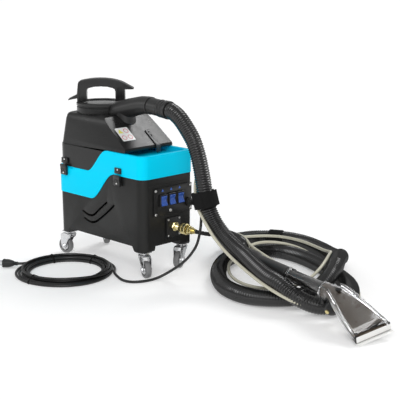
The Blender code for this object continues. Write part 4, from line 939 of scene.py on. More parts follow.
def handle_parts():
    """Arched carry handle with a tail behind, a ribbed peak in front and grooved posts."""
    foot = LID_TOP + GAP
    top = HANDLE_TOP_Z
    arch = smooth_route([(0.0700, top - 0.016, 0), (0.0672, top - 0.0098, 0), (0.058, top - 0.0063, 0),
                         (0.030, top - 0.0016, 0), (0.0, top, 0), (-0.030, top - 0.0022, 0),
                         (-0.060, top - 0.0092, 0), (-0.0995, top - 0.0298, 0)], 0.006)
    outer = [(0.073, foot), (0.0735, foot + 0.010), (0.101, foot + 0.0045), (0.0995, foot + 0.0085),
             (0.0740, foot + 0.021)]
    outer += [(x, z) for x, z, _ in arch]
    outer += [(-0.1005, top - 0.0330), (-0.073, top - 0.0335), (-0.0735, foot)]
    place = Matrix.Translation((0, NECK_Y, 0)) @ Matrix.Rotation(math.radians(HANDLE_TURN), 4, "Z")
    body = raw_object("handle", prism_bm(outer, "X", -0.016, 0.016))
    inner = [(0.0445, foot - 0.01), (0.0445, top - 0.040), (0.0425, top - 0.033), (0.037, top - 0.0295),
             (0.020, top - 0.0255), (0.0, top - 0.0245), (-0.020, top - 0.0255), (-0.037, top - 0.0295),
             (-0.0425, top - 0.033), (-0.0445, top - 0.040), (-0.0445, foot - 0.01)]
    boolean(body, prism_bm(inner, "X", -0.05, 0.05))
    for side in (-1, 1):
        groove = [(0.050, foot - 0.01), (0.050, top - 0.030), (0.067, top - 0.024), (0.067, foot - 0.01)]
        boolean(body, prism_bm(groove, "X", *sorted((side * 0.0135, side * 0.030))))
        groove = [(-y, z) for y, z in groove]
        boolean(body, prism_bm(groove, "X", *sorted((side * 0.0135, side * 0.030))))
        rib = [(-0.070, top - 0.0205), (-0.096, top - 0.0315), (-0.096, top - 0.0325),
               (-0.070, top - 0.0325)]
        boolean(body, prism_bm(rib, "X", *sorted((side * 0.0140, side * 0.030))))
    bevelled(body, 0.0022, 3, 30)
    body.data.transform(place)
    finished(body, "carry_handle", M["black"], "lid", ("handle",))


# ------------------------------------------------------------ hose elbow and cuff
ELBOW_ROUTE = [(0, 0.030, 0.460), (0, -0.002, 0.469), (0, -0.036, 0.479), (0, -0.074, 0.4890),
               (0, -0.098, 0.4942), (0, -0.117, 0.4956), (0, -0.1293, 0.4950)]
ELBOW_RADII = (0.0310, 0.0305, 0.0290, 0.0275, 0.0268, 0.0265)


def elbow():
    """Low suction duct that leaves the neck, stands on an oval foot and ends level."""
    path = smooth_route(ELBOW_ROUTE, 0.004)
    radii = np.interp(np.linspace(0, 1, len(path)), np.linspace(0, 1, len(ELBOW_RADII)), ELBOW_RADII)
    pts = [Vector([float(c) for c in p]) for p in path]
    rings = []
    for i, point in enumerate(pts):
        axis = (pts[min(i + 1, len(pts) - 1)] - pts[max(i - 1, 0)]).normalized()
        side = axis.cross(Vector((1, 0, 0))).normalized()
        other = axis.cross(side)
        r = float(radii[i])
        rings.append(slanted_ring(point, side, other, r, 56))
    body = raw_object("elbow", loft_bm(rings))
    foot = [[(grow * 0.0305 * math.cos(2 * math.pi * k / 56),
              -0.014 + grow * 0.0300 * math.sin(2 * math.pi * k / 56), z)
             for k in range(56)] for z, grow in ((0.405, 1.12), (0.440, 1.03), (0.455, 0.99),
                                                 (0.472, 0.90))]
    boolean(body, loft_bm(foot), "UNION")
    keep = [(-0.20, 0.52), (-0.20, 0.392), (-0.1190, 0.3749 + GAP), (-0.0150, 0.4535 + GAP),
            (-0.0135, TANK_TOP_Z + GAP), (0.05, TANK_TOP_Z + GAP), (0.05, 0.52)]
    boolean(body, prism_bm(keep, "X", -0.1, 0.1), "INTERSECT")
    boolean(body, moved(turned_bm([(0.0785, 0.40), (0.0785, 0.53)], 96),
                        Matrix.Translation((0, NECK_Y, 0))))
    bevelled(body, 0.0022, 3, 28)
    finished(body, "suction_elbow", M["elbow"], "machine", ("hose_elbow",))


def cuff():
    """Hose cuff: smooth barrel, two screwed ridges and a rolled end."""
    start = Vector((0, -0.1300, 0.4948))
    end = Vector((0.0, -0.208, 0.4895))
    axis = (end - start).normalized()
    span = (end - start).length
    profile = [(0.0232, 0.0), (0.0244, 0.0008), (0.0246, span * 0.10), (0.0246, span * 0.52)]
    for share, r in ((0.54, 0.0256), (0.57, 0.0263), (0.61, 0.0263), (0.64, 0.0250), (0.67, 0.0247),
                     (0.70, 0.0256),
                     (0.73, 0.0264), (0.77, 0.0264), (0.80, 0.0251), (0.83, 0.0256), (0.86, 0.0268),
                     (0.89, 0.0270), (0.985, 0.0270), (1.0, 0.0262)):
        profile.append((r, span * share))
    piece("suction_cuff", moved(turned_bm(profile, 64), along(axis, start)), M["elbow"], "machine",
          ("hose_cuff",), smooth=28)


# ------------------------------------------------------------------- small fittings
SCREW = None


def screw_bm(radius, matrix):
    """Pan-head screw with a cross recess, standing on its matrix's floor."""
    global SCREW
    if SCREW is None:
        head = raw_object("screw", turned_bm([(0.92, 0.0), (1.0, 0.06), (0.98, 0.26), (0.86, 0.44),
                                              (0.62, 0.56), (0.30, 0.61)], 28))
        for size in ((0.95, 0.20, 0.6), (0.20, 0.95, 0.6)):
            boolean(head, box_bm(size, (0, 0, 0.62)))
        SCREW = head.data.copy()
        bpy.data.objects.remove(head, do_unlink=True)
    bm = bmesh.new()
    bm.from_mesh(SCREW)
    return moved(bm, matrix @ Matrix.Scale(radius, 4))


def front(x, z, depth=0.0):
    """Matrix standing on the front face, pointing out."""
    return along((0, -1, 0), (x, FACE_Y - depth, z))


ROCKER_X = (-0.024, 0.010, 0.044)
ROCKER_Z = 0.226
BEZEL_Y = FACE_Y - 0.0025 - GAP


def control_panel():
    """Black panel with four screws, three hooded rockers and a small lamp."""
    body = raw_object("panel", box_bm((0.152, 0.0025, 0.084), (0.018, FACE_Y - 0.00125, 0.222)))
    for x in ROCKER_X:
        boolean(body, box_bm((0.0230, 0.02, 0.0320), (x, FACE_Y, ROCKER_Z)))
    bevelled(body, 0.0007, 2, 30)
    finished(body, "panel_face", M["panel"], "machine", ("control_panel",))
    corners = [(x, z) for x in (-0.0515, 0.0875) for z in (0.1865, 0.2570)]
    heads = merged(*[screw_bm(0.0042, front(x, z, 0.0026)) for x, z in corners])
    piece("panel_screws", heads, M["screw"], "machine", smooth=30)
    lamp = turned_bm([(0.0044, 0.0), (0.0044, 0.0012), (0.0034, 0.0022), (0.0034, 0.0030), (0.0028, 0.0044),
                      (0.0014, 0.0053)], 28)
    piece("panel_lamp", moved(lamp, front(0.0060, 0.1925, 0.0026)), M["lamp"], "machine",
          smooth=30)
    marks = []
    for x in ROCKER_X:
        marks.append(prism_bm([(x - 0.0045, 0.2525), (x + 0.0045, 0.2525), (x + 0.0002, 0.2600),
                               (x - 0.0002, 0.2600)],
                              "Y", FACE_Y - 0.0029, FACE_Y - 0.0025))
    piece("panel_marks", merged(*marks), M["mark"], "machine")
    for x, tag in zip(ROCKER_X, ("left", "middle", "right")):
        rocker(x, tag)


def rocker(x, tag):
    boot = raw_object("boot", box_bm((0.0285, 0.0075, 0.0375), (x, BEZEL_Y - 0.00375, ROCKER_Z)))
    boolean(boot, box_bm((0.0226, 0.04, 0.0316), (x, BEZEL_Y, ROCKER_Z)))
    bevelled(boot, 0.0012, 3, 30)
    finished(boot, "rocker_frame_" + tag, M["black"], "machine", ("bezel_" + tag,))
    half = 0.0145
    outline = [(0.0, -half), (0.0, half), (-0.0094, half - 0.0006), (-0.0104, half - 0.0024)]
    outline += [(-0.0072 - 0.0032 * (k / 6) ** 2, half * k / 6 * 0.80) for k in (5, 4, 3, 2, 1, 0)]
    outline += [(-0.0072 - 0.0058 * (k / 6) ** 1.5, -half * k / 6 * 0.92) for k in (1, 2, 3, 4, 5, 6)]
    outline += [(-0.0125, -half + 0.0002)]
    cap = raw_object("cap", moved(prism_bm(outline, "X", -0.0104, 0.0104),
                                  Matrix.Translation((x, BEZEL_Y + 0.0015, ROCKER_Z))))
    bevelled(cap, 0.0009, 3, 35)
    finished(cap, "rocker_cap_" + tag, M["switch"], "rocker_" + tag + "_body",
             ("rocker_" + tag,))


SLEEVE_OUT = 0.0370
SLEEVE_BORE = 0.0089
RECESS_R = 0.0134
RECESS_DEPTH = 0.0066


def bulkhead():
    """Plate with four screws that carries the brass quick coupler."""
    body = raw_object("plate", box_bm((0.056, 0.003, 0.060), (0.020, FACE_Y - 0.0015, 0.139)))
    bevelled(body, 0.0009, 3, 30)
    finished(body, "bulkhead_face", M["panel"], "machine", ("bulkhead_plate",))
    heads = merged(*[screw_bm(0.0032, front(0.020 + dx, 0.139 + dz, 0.0031)) for dx in (-0.022, 0.022)
                     for dz in (-0.024, 0.024)])
    piece("bulkhead_screws", heads, M["screw"], "machine", smooth=30)
    hexa = turned_bm([(0.0130, 0.0), (0.0146, 0.0014), (0.0146, 0.0072), (0.0130, 0.0086)], 6)
    collar = turned_bm([(0.0112, 0.0084), (0.0118, 0.0092), (0.0118, 0.0118), (0.0108, 0.0128)], 40)
    neck = [(0.0084, 0.0080)]
    for k in range(11):
        neck += [(0.0080, 0.0130 + 0.0013 * k), (0.0086, 0.01365 + 0.0013 * k)]
    neck += [(0.0085, 0.0280), (0.0085, COUPLER_NECK)]
    ring = turned_bm([(0.0110, 0.0285), (0.0128, 0.0292), (0.0128, 0.0332), (0.0110, 0.0342)], 48)
    piece("coupler_body", moved(merged(hexa, collar, turned_bm(neck, 40), ring), on_coupler(0.0)),
          M["brass"],
          "machine", ("coupler_socket",), smooth=30)
    sleeve = knurled([(RECESS_R, 0.0), (0.0150, 0.0), (0.0160, 0.0010), (0.0165, 0.0018), (0.0165, 0.0062),
                      (0.0150, 0.0072), (0.0150, 0.0088), (0.0165, 0.0098), (0.0165, 0.0188),
                      (0.0158, 0.0200),
                      (0.0140, 0.0210), (SLEEVE_BORE, 0.0210), (SLEEVE_BORE, RECESS_DEPTH),
                      (RECESS_R, RECESS_DEPTH)], (4, 8))
    piece("coupler_release_sleeve", moved(sleeve, on_coupler(SLEEVE_OUT)), M["brass"], "coupler_release",
          ("coupler_sleeve",), smooth=26)
    profile = [(0.0095, 0.0), (0.0120, 0.0008), (0.0125, 0.0020), (0.0125, 0.0070), (0.0118, 0.0082),
               (0.0094, 0.0092), (0.0094, 0.0108), (0.0108, 0.0118), (0.0110, 0.0130), (0.0110, 0.0162),
               (0.0104, 0.0172), (0.0082, 0.0182), (0.0090, 0.0196), (0.0074, 0.0200), (0.0084, 0.0232),
               (0.0070, 0.0236), (0.0080, 0.0268), (0.0066, 0.0272), (0.0074, 0.0300), (0.0062, 0.0304),
               (0.0062, 0.0340)]
    piece("coupler_plug_half", moved(turned_bm(profile, 48), on_coupler(COUPLER_NECK + GAP)), M["brass"],
          "machine",
          ("coupler_nipple",), smooth=26)


def on_coupler(out):
    return along((0, -1, 0), (COUPLER_X, COUPLER_Y - out, COUPLER_Z))


def knurled(profile, rows, teeth=36):
    """Ring whose outer bands carry fine lengthways teeth."""
    rings = []
    for index, (radius, height) in enumerate(profile):
        ring = []
        for k in range(teeth * 2):
            r = radius - (0.0004 if k % 2 and index in rows else 0.0)
            r = r - (0.0004 if k % 2 and index - 1 in rows else 0.0)
            ring.append((r * math.cos(math.pi * k / teeth), r * math.sin(math.pi * k / teeth), height))
        rings.append(ring)
    return loft_bm(rings, closed=True)


def gland():
    start = FACE_Y - 0.0025 - GAP
    nut = turned_bm([(0.0128, 0.0), (0.0138, 0.0008), (0.0138, 0.0052), (0.0128, 0.006)], 8)
    profile = [(0.0100, 0.0058), (0.0100, 0.0085), (0.0086, 0.0100), (0.0086, 0.0152)]
    for k in range(6):
        r = 0.0078 - 0.0004 * k
        profile += [(r, 0.0164 + 0.0032 * k), (r, 0.0182 + 0.0032 * k), (r - 0.0011, 0.0186 + 0.0032 * k),
                    (r - 0.0011, 0.0194 + 0.0032 * k)]
    profile += [(0.0052, 0.036)]
    bm = merged(nut, turned_bm(profile, 40))
    piece("cord_bend_relief", moved(bm, along((0, -1, 0), (0.080, start, 0.206))), M["plug"], "machine",
          ("cord_gland",), smooth=30)


# ---------------------------------------------------------------------- latches
def latch(tag, side, y, z_keeper, z_pin):
    """Draw latch: screwed keeper with a hook, and a stepped lever on a pin."""
    x = side * (WIDTH / 2 + 0.0012 + GAP)
    plate = raw_object("keeper", box_bm((0.003, 0.029, 0.017), (x + side * 0.0015, y, z_keeper)))
    boolean(plate, box_bm((0.0030, 0.024, 0.0040), (x + side * 0.0042, y, z_keeper - 0.0040)), "UNION")
    bevelled(plate, 0.0006, 2, 30)
    finished(plate, "latch_keeper_" + tag, M["black"], "machine", ("keeper_" + tag,))
    head = screw_bm(0.0032, along((side, 0, 0), (x + side * 0.0030, y, z_keeper + 0.0035)))
    piece("latch_keeper_screw_" + tag, head, M["screw"], "machine", smooth=30)
    pin = 0.0045
    outline = [(0.004 * math.cos(math.radians(180 + 18 * k)), 0.004 * math.sin(math.radians(180 + 18 * k)))
               for k in range(11)]
    outline += [(0.0035, 0.0105), (0.0046, 0.0125), (0.0046, 0.018), (0.0056, 0.026), (0.0050, 0.0290),
                (0.0030, 0.0295), (0.0010, 0.0285), (-0.0040, 0.0220)]
    at = Vector((side * (WIDTH / 2 + 0.0012 + GAP + pin), y, z_pin))
    lever = raw_object("lever", moved(prism_bm([(side * a, b) for a, b in outline], "Y", -0.0135, 0.0135),
                                      Matrix.Translation(at)))
    step = [(y - 0.0100, z_pin + 0.0080), (y, z_pin + 0.0160), (y + 0.0100, z_pin + 0.0080),
            (y + 0.0100, z_pin + 0.0115), (y, z_pin + 0.0195), (y - 0.0100, z_pin + 0.0115)]
    boolean(lever, prism_bm(step, "X", *sorted((at.x + side * 0.0034, at.x + side * 0.012))))
    bevelled(lever, 0.0006, 2, 30)
    finished(lever, "latch_lever_" + tag, M["black"], "latch_" + tag, ("lever_" + tag,))
    rivet = moved(turned_bm([(0.0031, 0.0), (0.0031, 0.0008), (0.0022, 0.0016)], 28),
                  along((side, 0, 0), at + Vector((side * 0.0028, 0, 0.0035))))
    piece("latch_rivet_" + tag, rivet, M["screw"], "latch_" + tag, smooth=30)


# --------------------------------------------------------------------- casters
HUB_BORE = 0.0044
AXLE_R = 0.0030
HUB_HALF = 0.0100


def caster(tag, sx, sy, heading):
    """Swivel caster: bolted plate, ball race, pressed fork, axle and grey wheel."""
    pivot = Vector((sx * 0.076, sy * 0.176, 0.0))
    low = FOOT_Z - GAP - 0.0025
    plate = raw_object("plate", box_bm((0.038, 0.036, 0.0025), (pivot.x, pivot.y, FOOT_Z - GAP - 0.00125),
                                       0.004))
    bevelled(plate, 0.0004, 2, 30)
    race = moved(turned_bm([(0.0118, low - 0.0055), (0.0145, low - 0.0055), (0.0158, low - 0.0046),
                            (0.0165, low - 0.0026), (0.0170, low - 0.0008), (0.0185, low + 0.0002)], 40),
                 Matrix.Translation((pivot.x, pivot.y, 0)))
    bolts = [screw_bm(0.0030, along((0, 0, -1), (pivot.x + dx, pivot.y + dy, low)))
             for dx in (-0.0150, 0.0150) for dy in (-0.0140, 0.0140)]
    piece("caster_top_" + tag, merged(from_object(plate), race, *bolts), M["zinc"], "machine",
          ("caster_" + tag + "_plate",), smooth=35)
    place = Matrix.Translation(pivot) @ Matrix.Rotation(math.radians(heading), 4, "Z")
    crown = low - 0.0055 - GAP
    trail = 0.017
    profile = [(-0.0150, crown - 0.0020), (-0.0135, crown), (0.0200, crown), (0.0290, crown - 0.0060),
               (trail + 0.0125, crown - 0.014), (trail + 0.0105, WHEEL_R + 0.004),
               (trail + 0.0078, WHEEL_R - 0.0050), (trail + 0.0040, WHEEL_R - 0.0090),
               (trail - 0.0040, WHEEL_R - 0.0090),
               (trail - 0.0078, WHEEL_R - 0.0050), (trail - 0.0090, WHEEL_R + 0.004),
               (-0.0040, crown - 0.018), (-0.0120, crown - 0.0120)]
    fork = raw_object("fork", prism_bm(profile, "Y", -0.0135, 0.0135))
    channel = [(-0.030, -0.01), (0.060, -0.01), (0.060, crown - 0.0030), (-0.030, crown - 0.0030)]
    boolean(fork, prism_bm(channel, "Y", -0.0112, 0.0112))
    bevelled(fork, 0.0009, 3, 28)
    cap = turned_bm([(0.0155, crown - 0.0042), (0.0165, crown - 0.0036), (0.0165, crown - 0.0010),
                     (0.0155, crown)], 40)
    axle = moved(turned_bm([(AXLE_R, -0.0168), (AXLE_R, 0.0168)], 24),
                 along((0, 1, 0), (trail, 0, WHEEL_R)))
    nuts = [moved(turned_bm([(0.0052, 0.0), (0.0058, 0.0005), (0.0058, 0.0030), (0.0050, 0.0036)], 6),
                  along((0, s, 0), (trail, s * 0.0134, WHEEL_R))) for s in (-1, 1)]
    fork_bm = moved(merged(from_object(fork), cap, axle, *nuts), place)
    piece("caster_fork_" + tag, fork_bm, M["zinc"], "caster_" + tag,
          ("caster_" + tag + "_fork",), smooth=35)
    spin = place @ along((0, 1, 0), (trail, 0, WHEEL_R))
    tyre = [(0.0172, -0.0080), (0.0205, -0.0088), (0.0230, -0.0084), (0.0247, -0.0066), (WHEEL_R, -0.0030),
            (WHEEL_R, 0.0030), (0.0247, 0.0066), (0.0230, 0.0084), (0.0205, 0.0088), (0.0172, 0.0080)]
    piece("tyre_" + tag, moved(turned_bm(tyre, 72, True), spin), M["tyre"], "wheel_" + tag,
          ("caster_" + tag + "_wheel",), smooth=50)
    ring = [(0.0148, -0.0076), (0.0171, -0.0081), (0.0171, 0.0081), (0.0148, 0.0076)]
    piece("wheel_ring_" + tag, moved(turned_bm(ring, 56, True), spin), M["dark"], "wheel_" + tag)
    hub = [(HUB_BORE, -HUB_HALF), (0.0062, -0.0102), (0.0078, -0.0096), (0.0090, -0.0072),
           (0.0130, -0.0066),
           (0.0147, -0.0078), (0.0147, 0.0078), (0.0130, 0.0066), (0.0090, 0.0072), (0.0078, 0.0096),
           (0.0062, 0.0102), (HUB_BORE, HUB_HALF)]
    piece("wheel_hub_" + tag, moved(turned_bm(hub, 56, True), spin), M["hub"], "wheel_" + tag,
          smooth=35)


# --------------------------------------------------------------- hook-and-loop wraps
WRAP_CENTRE = (0.005, -0.354, 0.250)
WRAP_AXIS = (-0.08, 0.24, 0.967)
# Rounds the wrap is pulled tight over, about its own centre: hose, power cord, solution line.
WRAP_ROUNDS = ((0.0, 0.0, 0.0262), (0.0118, 0.0285, 0.0072), (-0.0115, 0.0290, 0.0086))


def hull_outline(rounds, grow, steps=72):
    """Outline of a band pulled tight over several round bars."""
    points = []
    for k in range(steps):
        t = 2 * math.pi * (k + 0.5) / steps
        nx, ny = math.cos(t), math.sin(t)
        x, y, r = max(rounds, key=lambda c: c[0] * nx + c[1] * ny + c[2])
        points.append((x + (r + grow) * nx, y + (r + grow) * ny))
    return points


def band_bm(rounds, width, thick=0.0019):
    """Closed webbing band standing about Z, with slightly rounded and waved edges."""
    rows = []
    for grow, level in ((thick - 0.0004, -1.0), (thick, -0.96), (thick, -0.3), (thick, 0.3), (thick, 0.96),
                        (thick - 0.0004, 1.0), (0.0, 1.0), (0.0, -1.0)):
        outline = hull_outline(rounds, grow)
        rows.append([(x, y, level * width / 2 + 0.0008 * math.sin(5 * math.atan2(y, x)))
                     for x, y in outline])
    return loft_bm(rows, closed=True)


def flap_bm(radius, width, span, start):
    """Loose outer end of a wrap, lying round the band and lifting off at its tip."""
    rows = []
    count = 14
    for k in range(count + 1):
        t = start + span * k / count
        lift = 0.0021 + 0.0050 * max(k / count - 0.72, 0.0) ** 1.5 / 0.15
        inner, outer = radius + lift, radius + lift + 0.0017
        rows.append([(r * math.cos(t), r * math.sin(t), z) for r, z in
                     ((inner, -width / 2), (outer, -width / 2), (outer, width / 2), (inner, width / 2))])
    return loft_bm(rows)


def wraps():
    """Two hook-and-loop wraps: one gathers hose, cord and line, one holds the coiled hose."""
    both = merged(band_bm(WRAP_ROUNDS, 0.048), flap_bm(0.0262, 0.044, 2.0, 3.6))
    piece("gather_wrap", moved(both, along(WRAP_AXIS, WRAP_CENTRE)), M["web"], "machine",
          ("hose_wrap",),
          smooth=60)
    path = hose_points(0.01)
    at = int(len(path) * COIL_WRAP_SHARE)
    axis = Vector(path[at + 1] - path[at - 1]).normalized()
    place = along(axis, Vector(path[at]))
    up = place.to_3x3().transposed() @ Vector((0, 0, 1))
    crest = math.atan2(up.y, up.x)
    band = merged(band_bm(((0.0, 0.0, HOSE_R - 0.0012),), 0.046, 0.0016),
                  flap_bm(HOSE_R - 0.0018, 0.042, 2.2, crest - 1.1))
    piece("coil_wrap", moved(band, place), M["web"], "machine", smooth=60)


COIL_WRAP_SHARE = 0.833

# -------------------------------------------------------------------- hand tool
def tool_section(y, half_w, z_low, z_high, radius, steps=9):
    mid = (z_low + z_high) / 2
    half_h = (z_high - z_low) / 2
    ring = rounded_rect(half_w, half_h, min(radius, half_w * 0.98, half_h * 0.98), steps, (0, mid))
    return [(x, y, z) for x, z in ring]


HEAD_OUTER = ((0.010, 0.056, 0.001, 0.020, 0.004), (0.035, 0.052, 0.0105, 0.0335, 0.006),
              (0.060, 0.048, 0.020, 0.047, 0.008), (0.083, 0.0432, 0.0290, 0.0605, 0.011),
              (0.105, 0.038, 0.038, 0.074, 0.014), (0.122, 0.0335, 0.0437, 0.0835, 0.0165),
              (0.138, 0.029, 0.049, 0.092, 0.019), (0.152, 0.0255, 0.0517, 0.0955, 0.0205),
              (0.165, 0.0225, 0.053, 0.097, 0.0215), (0.190, 0.0215, 0.0535, 0.0965, 0.0210))


def head_rings(shrink, y_first, y_last, y_shift=0.0):
    rings = []
    for y, w, low, high, r in HEAD_OUTER:
        y = min(max(y, y_first), y_last) + y_shift
        rings.append(tool_section(y, w - shrink, low + shrink, high - shrink, max(r - shrink, 0.002)))
    return rings


def tool_head():
    """Clear flared head with side rails, screw bosses and a dark liner seen through it."""
    body = raw_object("head", loft_bm(head_rings(0.0, 0.0, 0.190)))
    inner = [tool_section(-0.004, 0.0530, 0.0040, 0.0150, 0.003)] + head_rings(0.0028, 0.0, 0.190)[1:-1]
    inner.append(tool_section(0.200, 0.0187, 0.0563, 0.0937, 0.0180))
    boolean(body, loft_bm(inner))
    for side in (-1, 1):
        rail = []
        for y, w, low, high, _ in HEAD_OUTER[:8]:
            top = high + 0.0006
            rail.append([(side * (w - 0.0055), y, top - 0.004), (side * (w - 0.0005), y, top - 0.004),
                         (side * (w - 0.0005), y, top + 0.0016), (side * (w - 0.0055), y, top + 0.0016)])
        boolean(body, loft_bm(rail), "UNION")
    boolean(body, turned_boss((-0.046, 0.020, 0.022)), "UNION")
    boolean(body, turned_boss((0.046, 0.020, 0.022)), "UNION")
    bevelled(body, 0.0006, 2, 35)
    body.data.transform(TOOL)
    finished(body, "tool_head_shell", M["clear"], "machine", ("tool_head",))
    liner = [tool_section(0.012, 0.0505, 0.0048, 0.0148, 0.003)]
    liner += [tool_section(y, w - 0.0045, low + 0.0045, high - 0.0045, max(r - 0.0045, 0.002))
              for y, w, low, high, r in HEAD_OUTER[1:]]
    outer_obj = raw_object("liner", loft_bm(liner))
    cut_rings = [tool_section(0.004, 0.0490, 0.0062, 0.0134, 0.003)]
    cut_rings += [tool_section(y, w - 0.0058, low + 0.0058, high - 0.0058, max(r - 0.0058, 0.002))
                  for y, w, low, high, r in HEAD_OUTER[1:-1]]
    cut_rings.append(tool_section(0.200, 0.0157, 0.0593, 0.0907, 0.0150))
    boolean(outer_obj, loft_bm(cut_rings))
    outer_obj.data.transform(TOOL)
    outer_obj.data.shade_smooth()
    outer_obj.data.set_sharp_from_angle(angle=math.radians(35))
    finished(outer_obj, "tool_head_liner", M["smoke"], "machine")


def turned_boss(at):
    return moved(turned_bm([(0.0052, -0.006), (0.0052, 0.0035), (0.0040, 0.0045)], 28),
                 Matrix.Translation(at))


def tool_screws():
    """Small screws in the head's bosses and clamp ring, and the oval grommet on the neck."""
    heads = [screw_bm(0.0030, Matrix.Translation((side * 0.046, 0.020, 0.0264))) for side in (-1, 1)]
    ring_at = TOOL_AXIS_Z
    heads.append(screw_bm(0.0028, along((-1, 0, 0.15), (-0.0226, 0.1945, ring_at))))
    piece("tool_screws", moved(merged(*heads), TOOL), M["screw"], "machine", smooth=30)
    oval = turned_bm([(0.0070, -0.002), (0.0070, 0.0006), (0.0062, 0.0014), (0.0040, 0.0014),
                      (0.0040, 0.0002)], 36)
    moved(oval, Matrix.Translation((0.002, 0.138, 0.0922)) @ Matrix.Rotation(math.radians(-12), 4, "X")
          @ Matrix.Diagonal((1.0, 1.7, 1.0, 1.0)))
    piece("neck_grommet", moved(oval, TOOL), M["plug"], "machine", smooth=30)


TUBE_START = 0.190 + GAP
TUBE_SPAN = 0.160
GRIP_START = TUBE_START + TUBE_SPAN + GAP


def tool_barrel():
    profile = [(0.0178, 0.0), (0.0218, 0.0), (0.0225, 0.0008), (0.0225, 0.0072), (0.0218, 0.008),
               (0.0190, 0.0086),
               (0.0182, 0.0100), (0.0180, 0.0140), (0.0180, TUBE_SPAN - 0.016),
               (0.0184, TUBE_SPAN - 0.0130),
               (0.0200, TUBE_SPAN - 0.0122), (0.0205, TUBE_SPAN - 0.0110), (0.0205, TUBE_SPAN - 0.001),
               (0.0200, TUBE_SPAN), (0.0160, TUBE_SPAN)]
    bm = moved(turned_bm(profile, 64, True), along((0, 1, 0), (0, TUBE_START, TOOL_AXIS_Z)))
    piece("tool_barrel", moved(bm, TOOL), M["clear"], "machine", ("tool_tube",), smooth=28)
    # A near-black brown liner inside the clear barrel makes the barrel read darker inside.
    core = [(0.0130, -0.008), (0.0146, -0.006), (0.0146, TUBE_SPAN - 0.002), (0.0130, TUBE_SPAN)]
    core += [(0.0122, TUBE_SPAN), (0.0122, -0.008)]
    bm = moved(turned_bm(core, 48, True), along((0, 1, 0), (0, TUBE_START, TOOL_AXIS_Z)))
    piece("tool_barrel_liner", moved(bm, TOOL), M["barrel_inner_dark"], "machine", smooth=28)


def tool_grip():
    span = TOOL_END_Y - GRIP_START
    profile = [(0.0150, 0.0), (0.0200, 0.0), (0.0212, 0.0020), (0.0215, 0.0045), (0.0207, 0.0085),
               (0.0205, 0.010),
               (0.0205, span - 0.062), (0.0212, span - 0.056), (0.0236, span - 0.048),
               (0.0245, span - 0.044)]
    for k in range(3):
        base = span - 0.040 + 0.0105 * k
        profile += [(0.0248, base), (0.0260, base + 0.0022), (0.0260, base + 0.0056),
                    (0.0248, base + 0.0078)]
    profile += [(0.0256, span - 0.007), (0.0260, span - 0.005), (0.0260, span - 0.0008), (0.0254, span)]
    bm = moved(turned_bm(profile, 64), along((0, 1, 0), (0, GRIP_START, TOOL_AXIS_Z)))
    piece("tool_grip_cuff", moved(bm, TOOL), M["elbow"], "machine", ("tool_grip",),
          smooth=30)


def tool_lip():
    outline = [(-0.004, 0.0006), (0.0094, 0.0006), (0.0094, 0.0034), (0.0060, 0.0034), (0.0015, 0.0034),
               (-0.004, 0.0022)]
    lip = raw_object("lip", prism_bm(outline, "X", -0.056, 0.056))
    bevelled(lip, 0.0005, 2, 30)
    front_lip = raw_object("front_lip", box_bm((0.1085, 0.0022, 0.0140), (0, 0.0075, 0.0125)))
    bevelled(front_lip, 0.0005, 2, 30)
    both = merged(*[from_object(o) for o in (lip, front_lip)])
    piece("glide_lip", moved(both, TOOL), M["white"], "machine", ("tool_lip",), smooth=35)


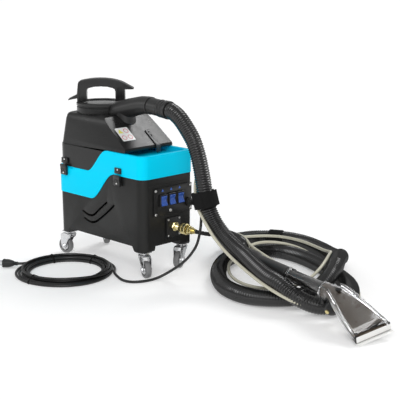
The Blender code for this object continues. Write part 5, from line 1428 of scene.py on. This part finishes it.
def tool_valve():
    """Round valve under the neck with brass gland nut, jet and spindle, and its thumb lever."""
    centre = Vector((0, VALVE_Y, TOOL_AXIS_Z - VALVE_DROP))
    ball = bmesh.new()
    bmesh.ops.create_uvsphere(ball, u_segments=48, v_segments=28, radius=VALVE_R)
    moved(ball, Matrix.Translation(centre))
    stem = moved(turned_bm([(0.0085, 0.0), (0.0085, 0.0065)], 32),
                 Matrix.Translation(centre + Vector((0, 0, 0.0145))))
    jet = moved(turned_bm([(0.0052, 0.0), (0.0052, 0.010)], 28),
                along((0, -1, 0.1), centre + Vector((0, -0.017, 0))))
    piece("valve_body", moved(merged(ball, stem, jet), TOOL), M["black"], "machine",
          ("tool_valve",))
    nut = turned_bm([(0.0060, 0.0), (0.0068, 0.0006), (0.0068, 0.0060), (0.0060, 0.0066)], 6)
    tip = turned_bm([(0.0036, 0.006), (0.0036, 0.0095), (0.0026, 0.0105)], 24)
    brass = [moved(merged(nut, tip), along((0, -1, 0.1), centre + Vector((0, -0.0235, 0.0006))))]
    side_nut = turned_bm([(0.0052, 0.0), (0.0058, 0.0006), (0.0058, 0.0040), (0.0048, 0.0048),
                          (0.0030, 0.0052)], 8)
    brass.append(moved(side_nut, along((-1, -0.35, -0.1), centre + Vector((-0.0188, -0.0066, -0.0018)))))
    piece("valve_brass", moved(merged(*brass), TOOL), M["brass"], "machine", smooth=30)
    outline = [(0.0, -0.005), (-0.0012, 0.0), (0.0, 0.005), (0.006, 0.0046), (0.012, 0.003),
               (0.0155, -0.001),
               (0.018, -0.006), (0.0178, -0.0082), (0.016, -0.009), (0.012, -0.0065), (0.008, -0.004)]
    lever = raw_object("lever", prism_bm(outline, "X", -0.007, 0.007))
    bevelled(lever, 0.0008, 3, 30)
    lever.data.transform(TOOL @ Matrix.Translation((-0.004, VALVE_Y + 0.0200, TOOL_AXIS_Z - 0.0320)))
    finished(lever, "valve_lever", M["black"], "trigger", ("tool_trigger",))


def solution_jet_line():
    """Short feed pipe from the valve up to the head's spray jet."""
    a = tool_point(0.0, VALVE_Y - 0.034, TOOL_AXIS_Z - VALVE_DROP + 0.0016)
    b = tool_point(0.0, 0.118, 0.0310)
    c = tool_point(0.0, 0.098, 0.0290)
    path = smooth_route([tuple(a), tuple(tool_point(0.0, 0.128, 0.0315)), tuple(b), tuple(c)], 0.004)
    curve_piece("jet_pipe", path, 0.0024, M["brass"], "machine")


# ----------------------------------------------------------------------- run
stage()
vacuum_hose()
solution_line()
power_cord()
base_shell()
blue_shell()
tank_shell()
label()
strap()
lid_parts()
handle_parts()
elbow()
cuff()
control_panel()
bulkhead()
gland()
for rank, y, z_keeper, z_pin in (("rear", 0.158, 0.307, 0.266), ("mid", -0.096, 0.310, 0.269)):
    for word, side in (("left", -1), ("right", 1)):
        latch(rank + "_" + word, side, y, z_keeper, z_pin)
for tag, sx, sy, heading in (("fl", -1, -1, 250), ("fr", 1, -1, 200), ("rl", -1, 1, 100), ("rr", 1, 1, 60)):
    caster(tag, sx, sy, heading)
wraps()
tool_head()
tool_screws()
tool_barrel()
tool_grip()
tool_lip()
tool_valve()
solution_jet_line()

# The pieces whose drawn shape is already right keep it and get the finished materials.
KEPT_NODES = {"base_plate": "zinc", "vacuum_motor": "motor", "solution_pump": "motor", "heater": "zinc"}


def dress_nodes():
    for node, key in KEPT_NODES.items():
        for slot in bpy.data.objects[node].material_slots:
            slot.material = M[key]


dress_nodes()
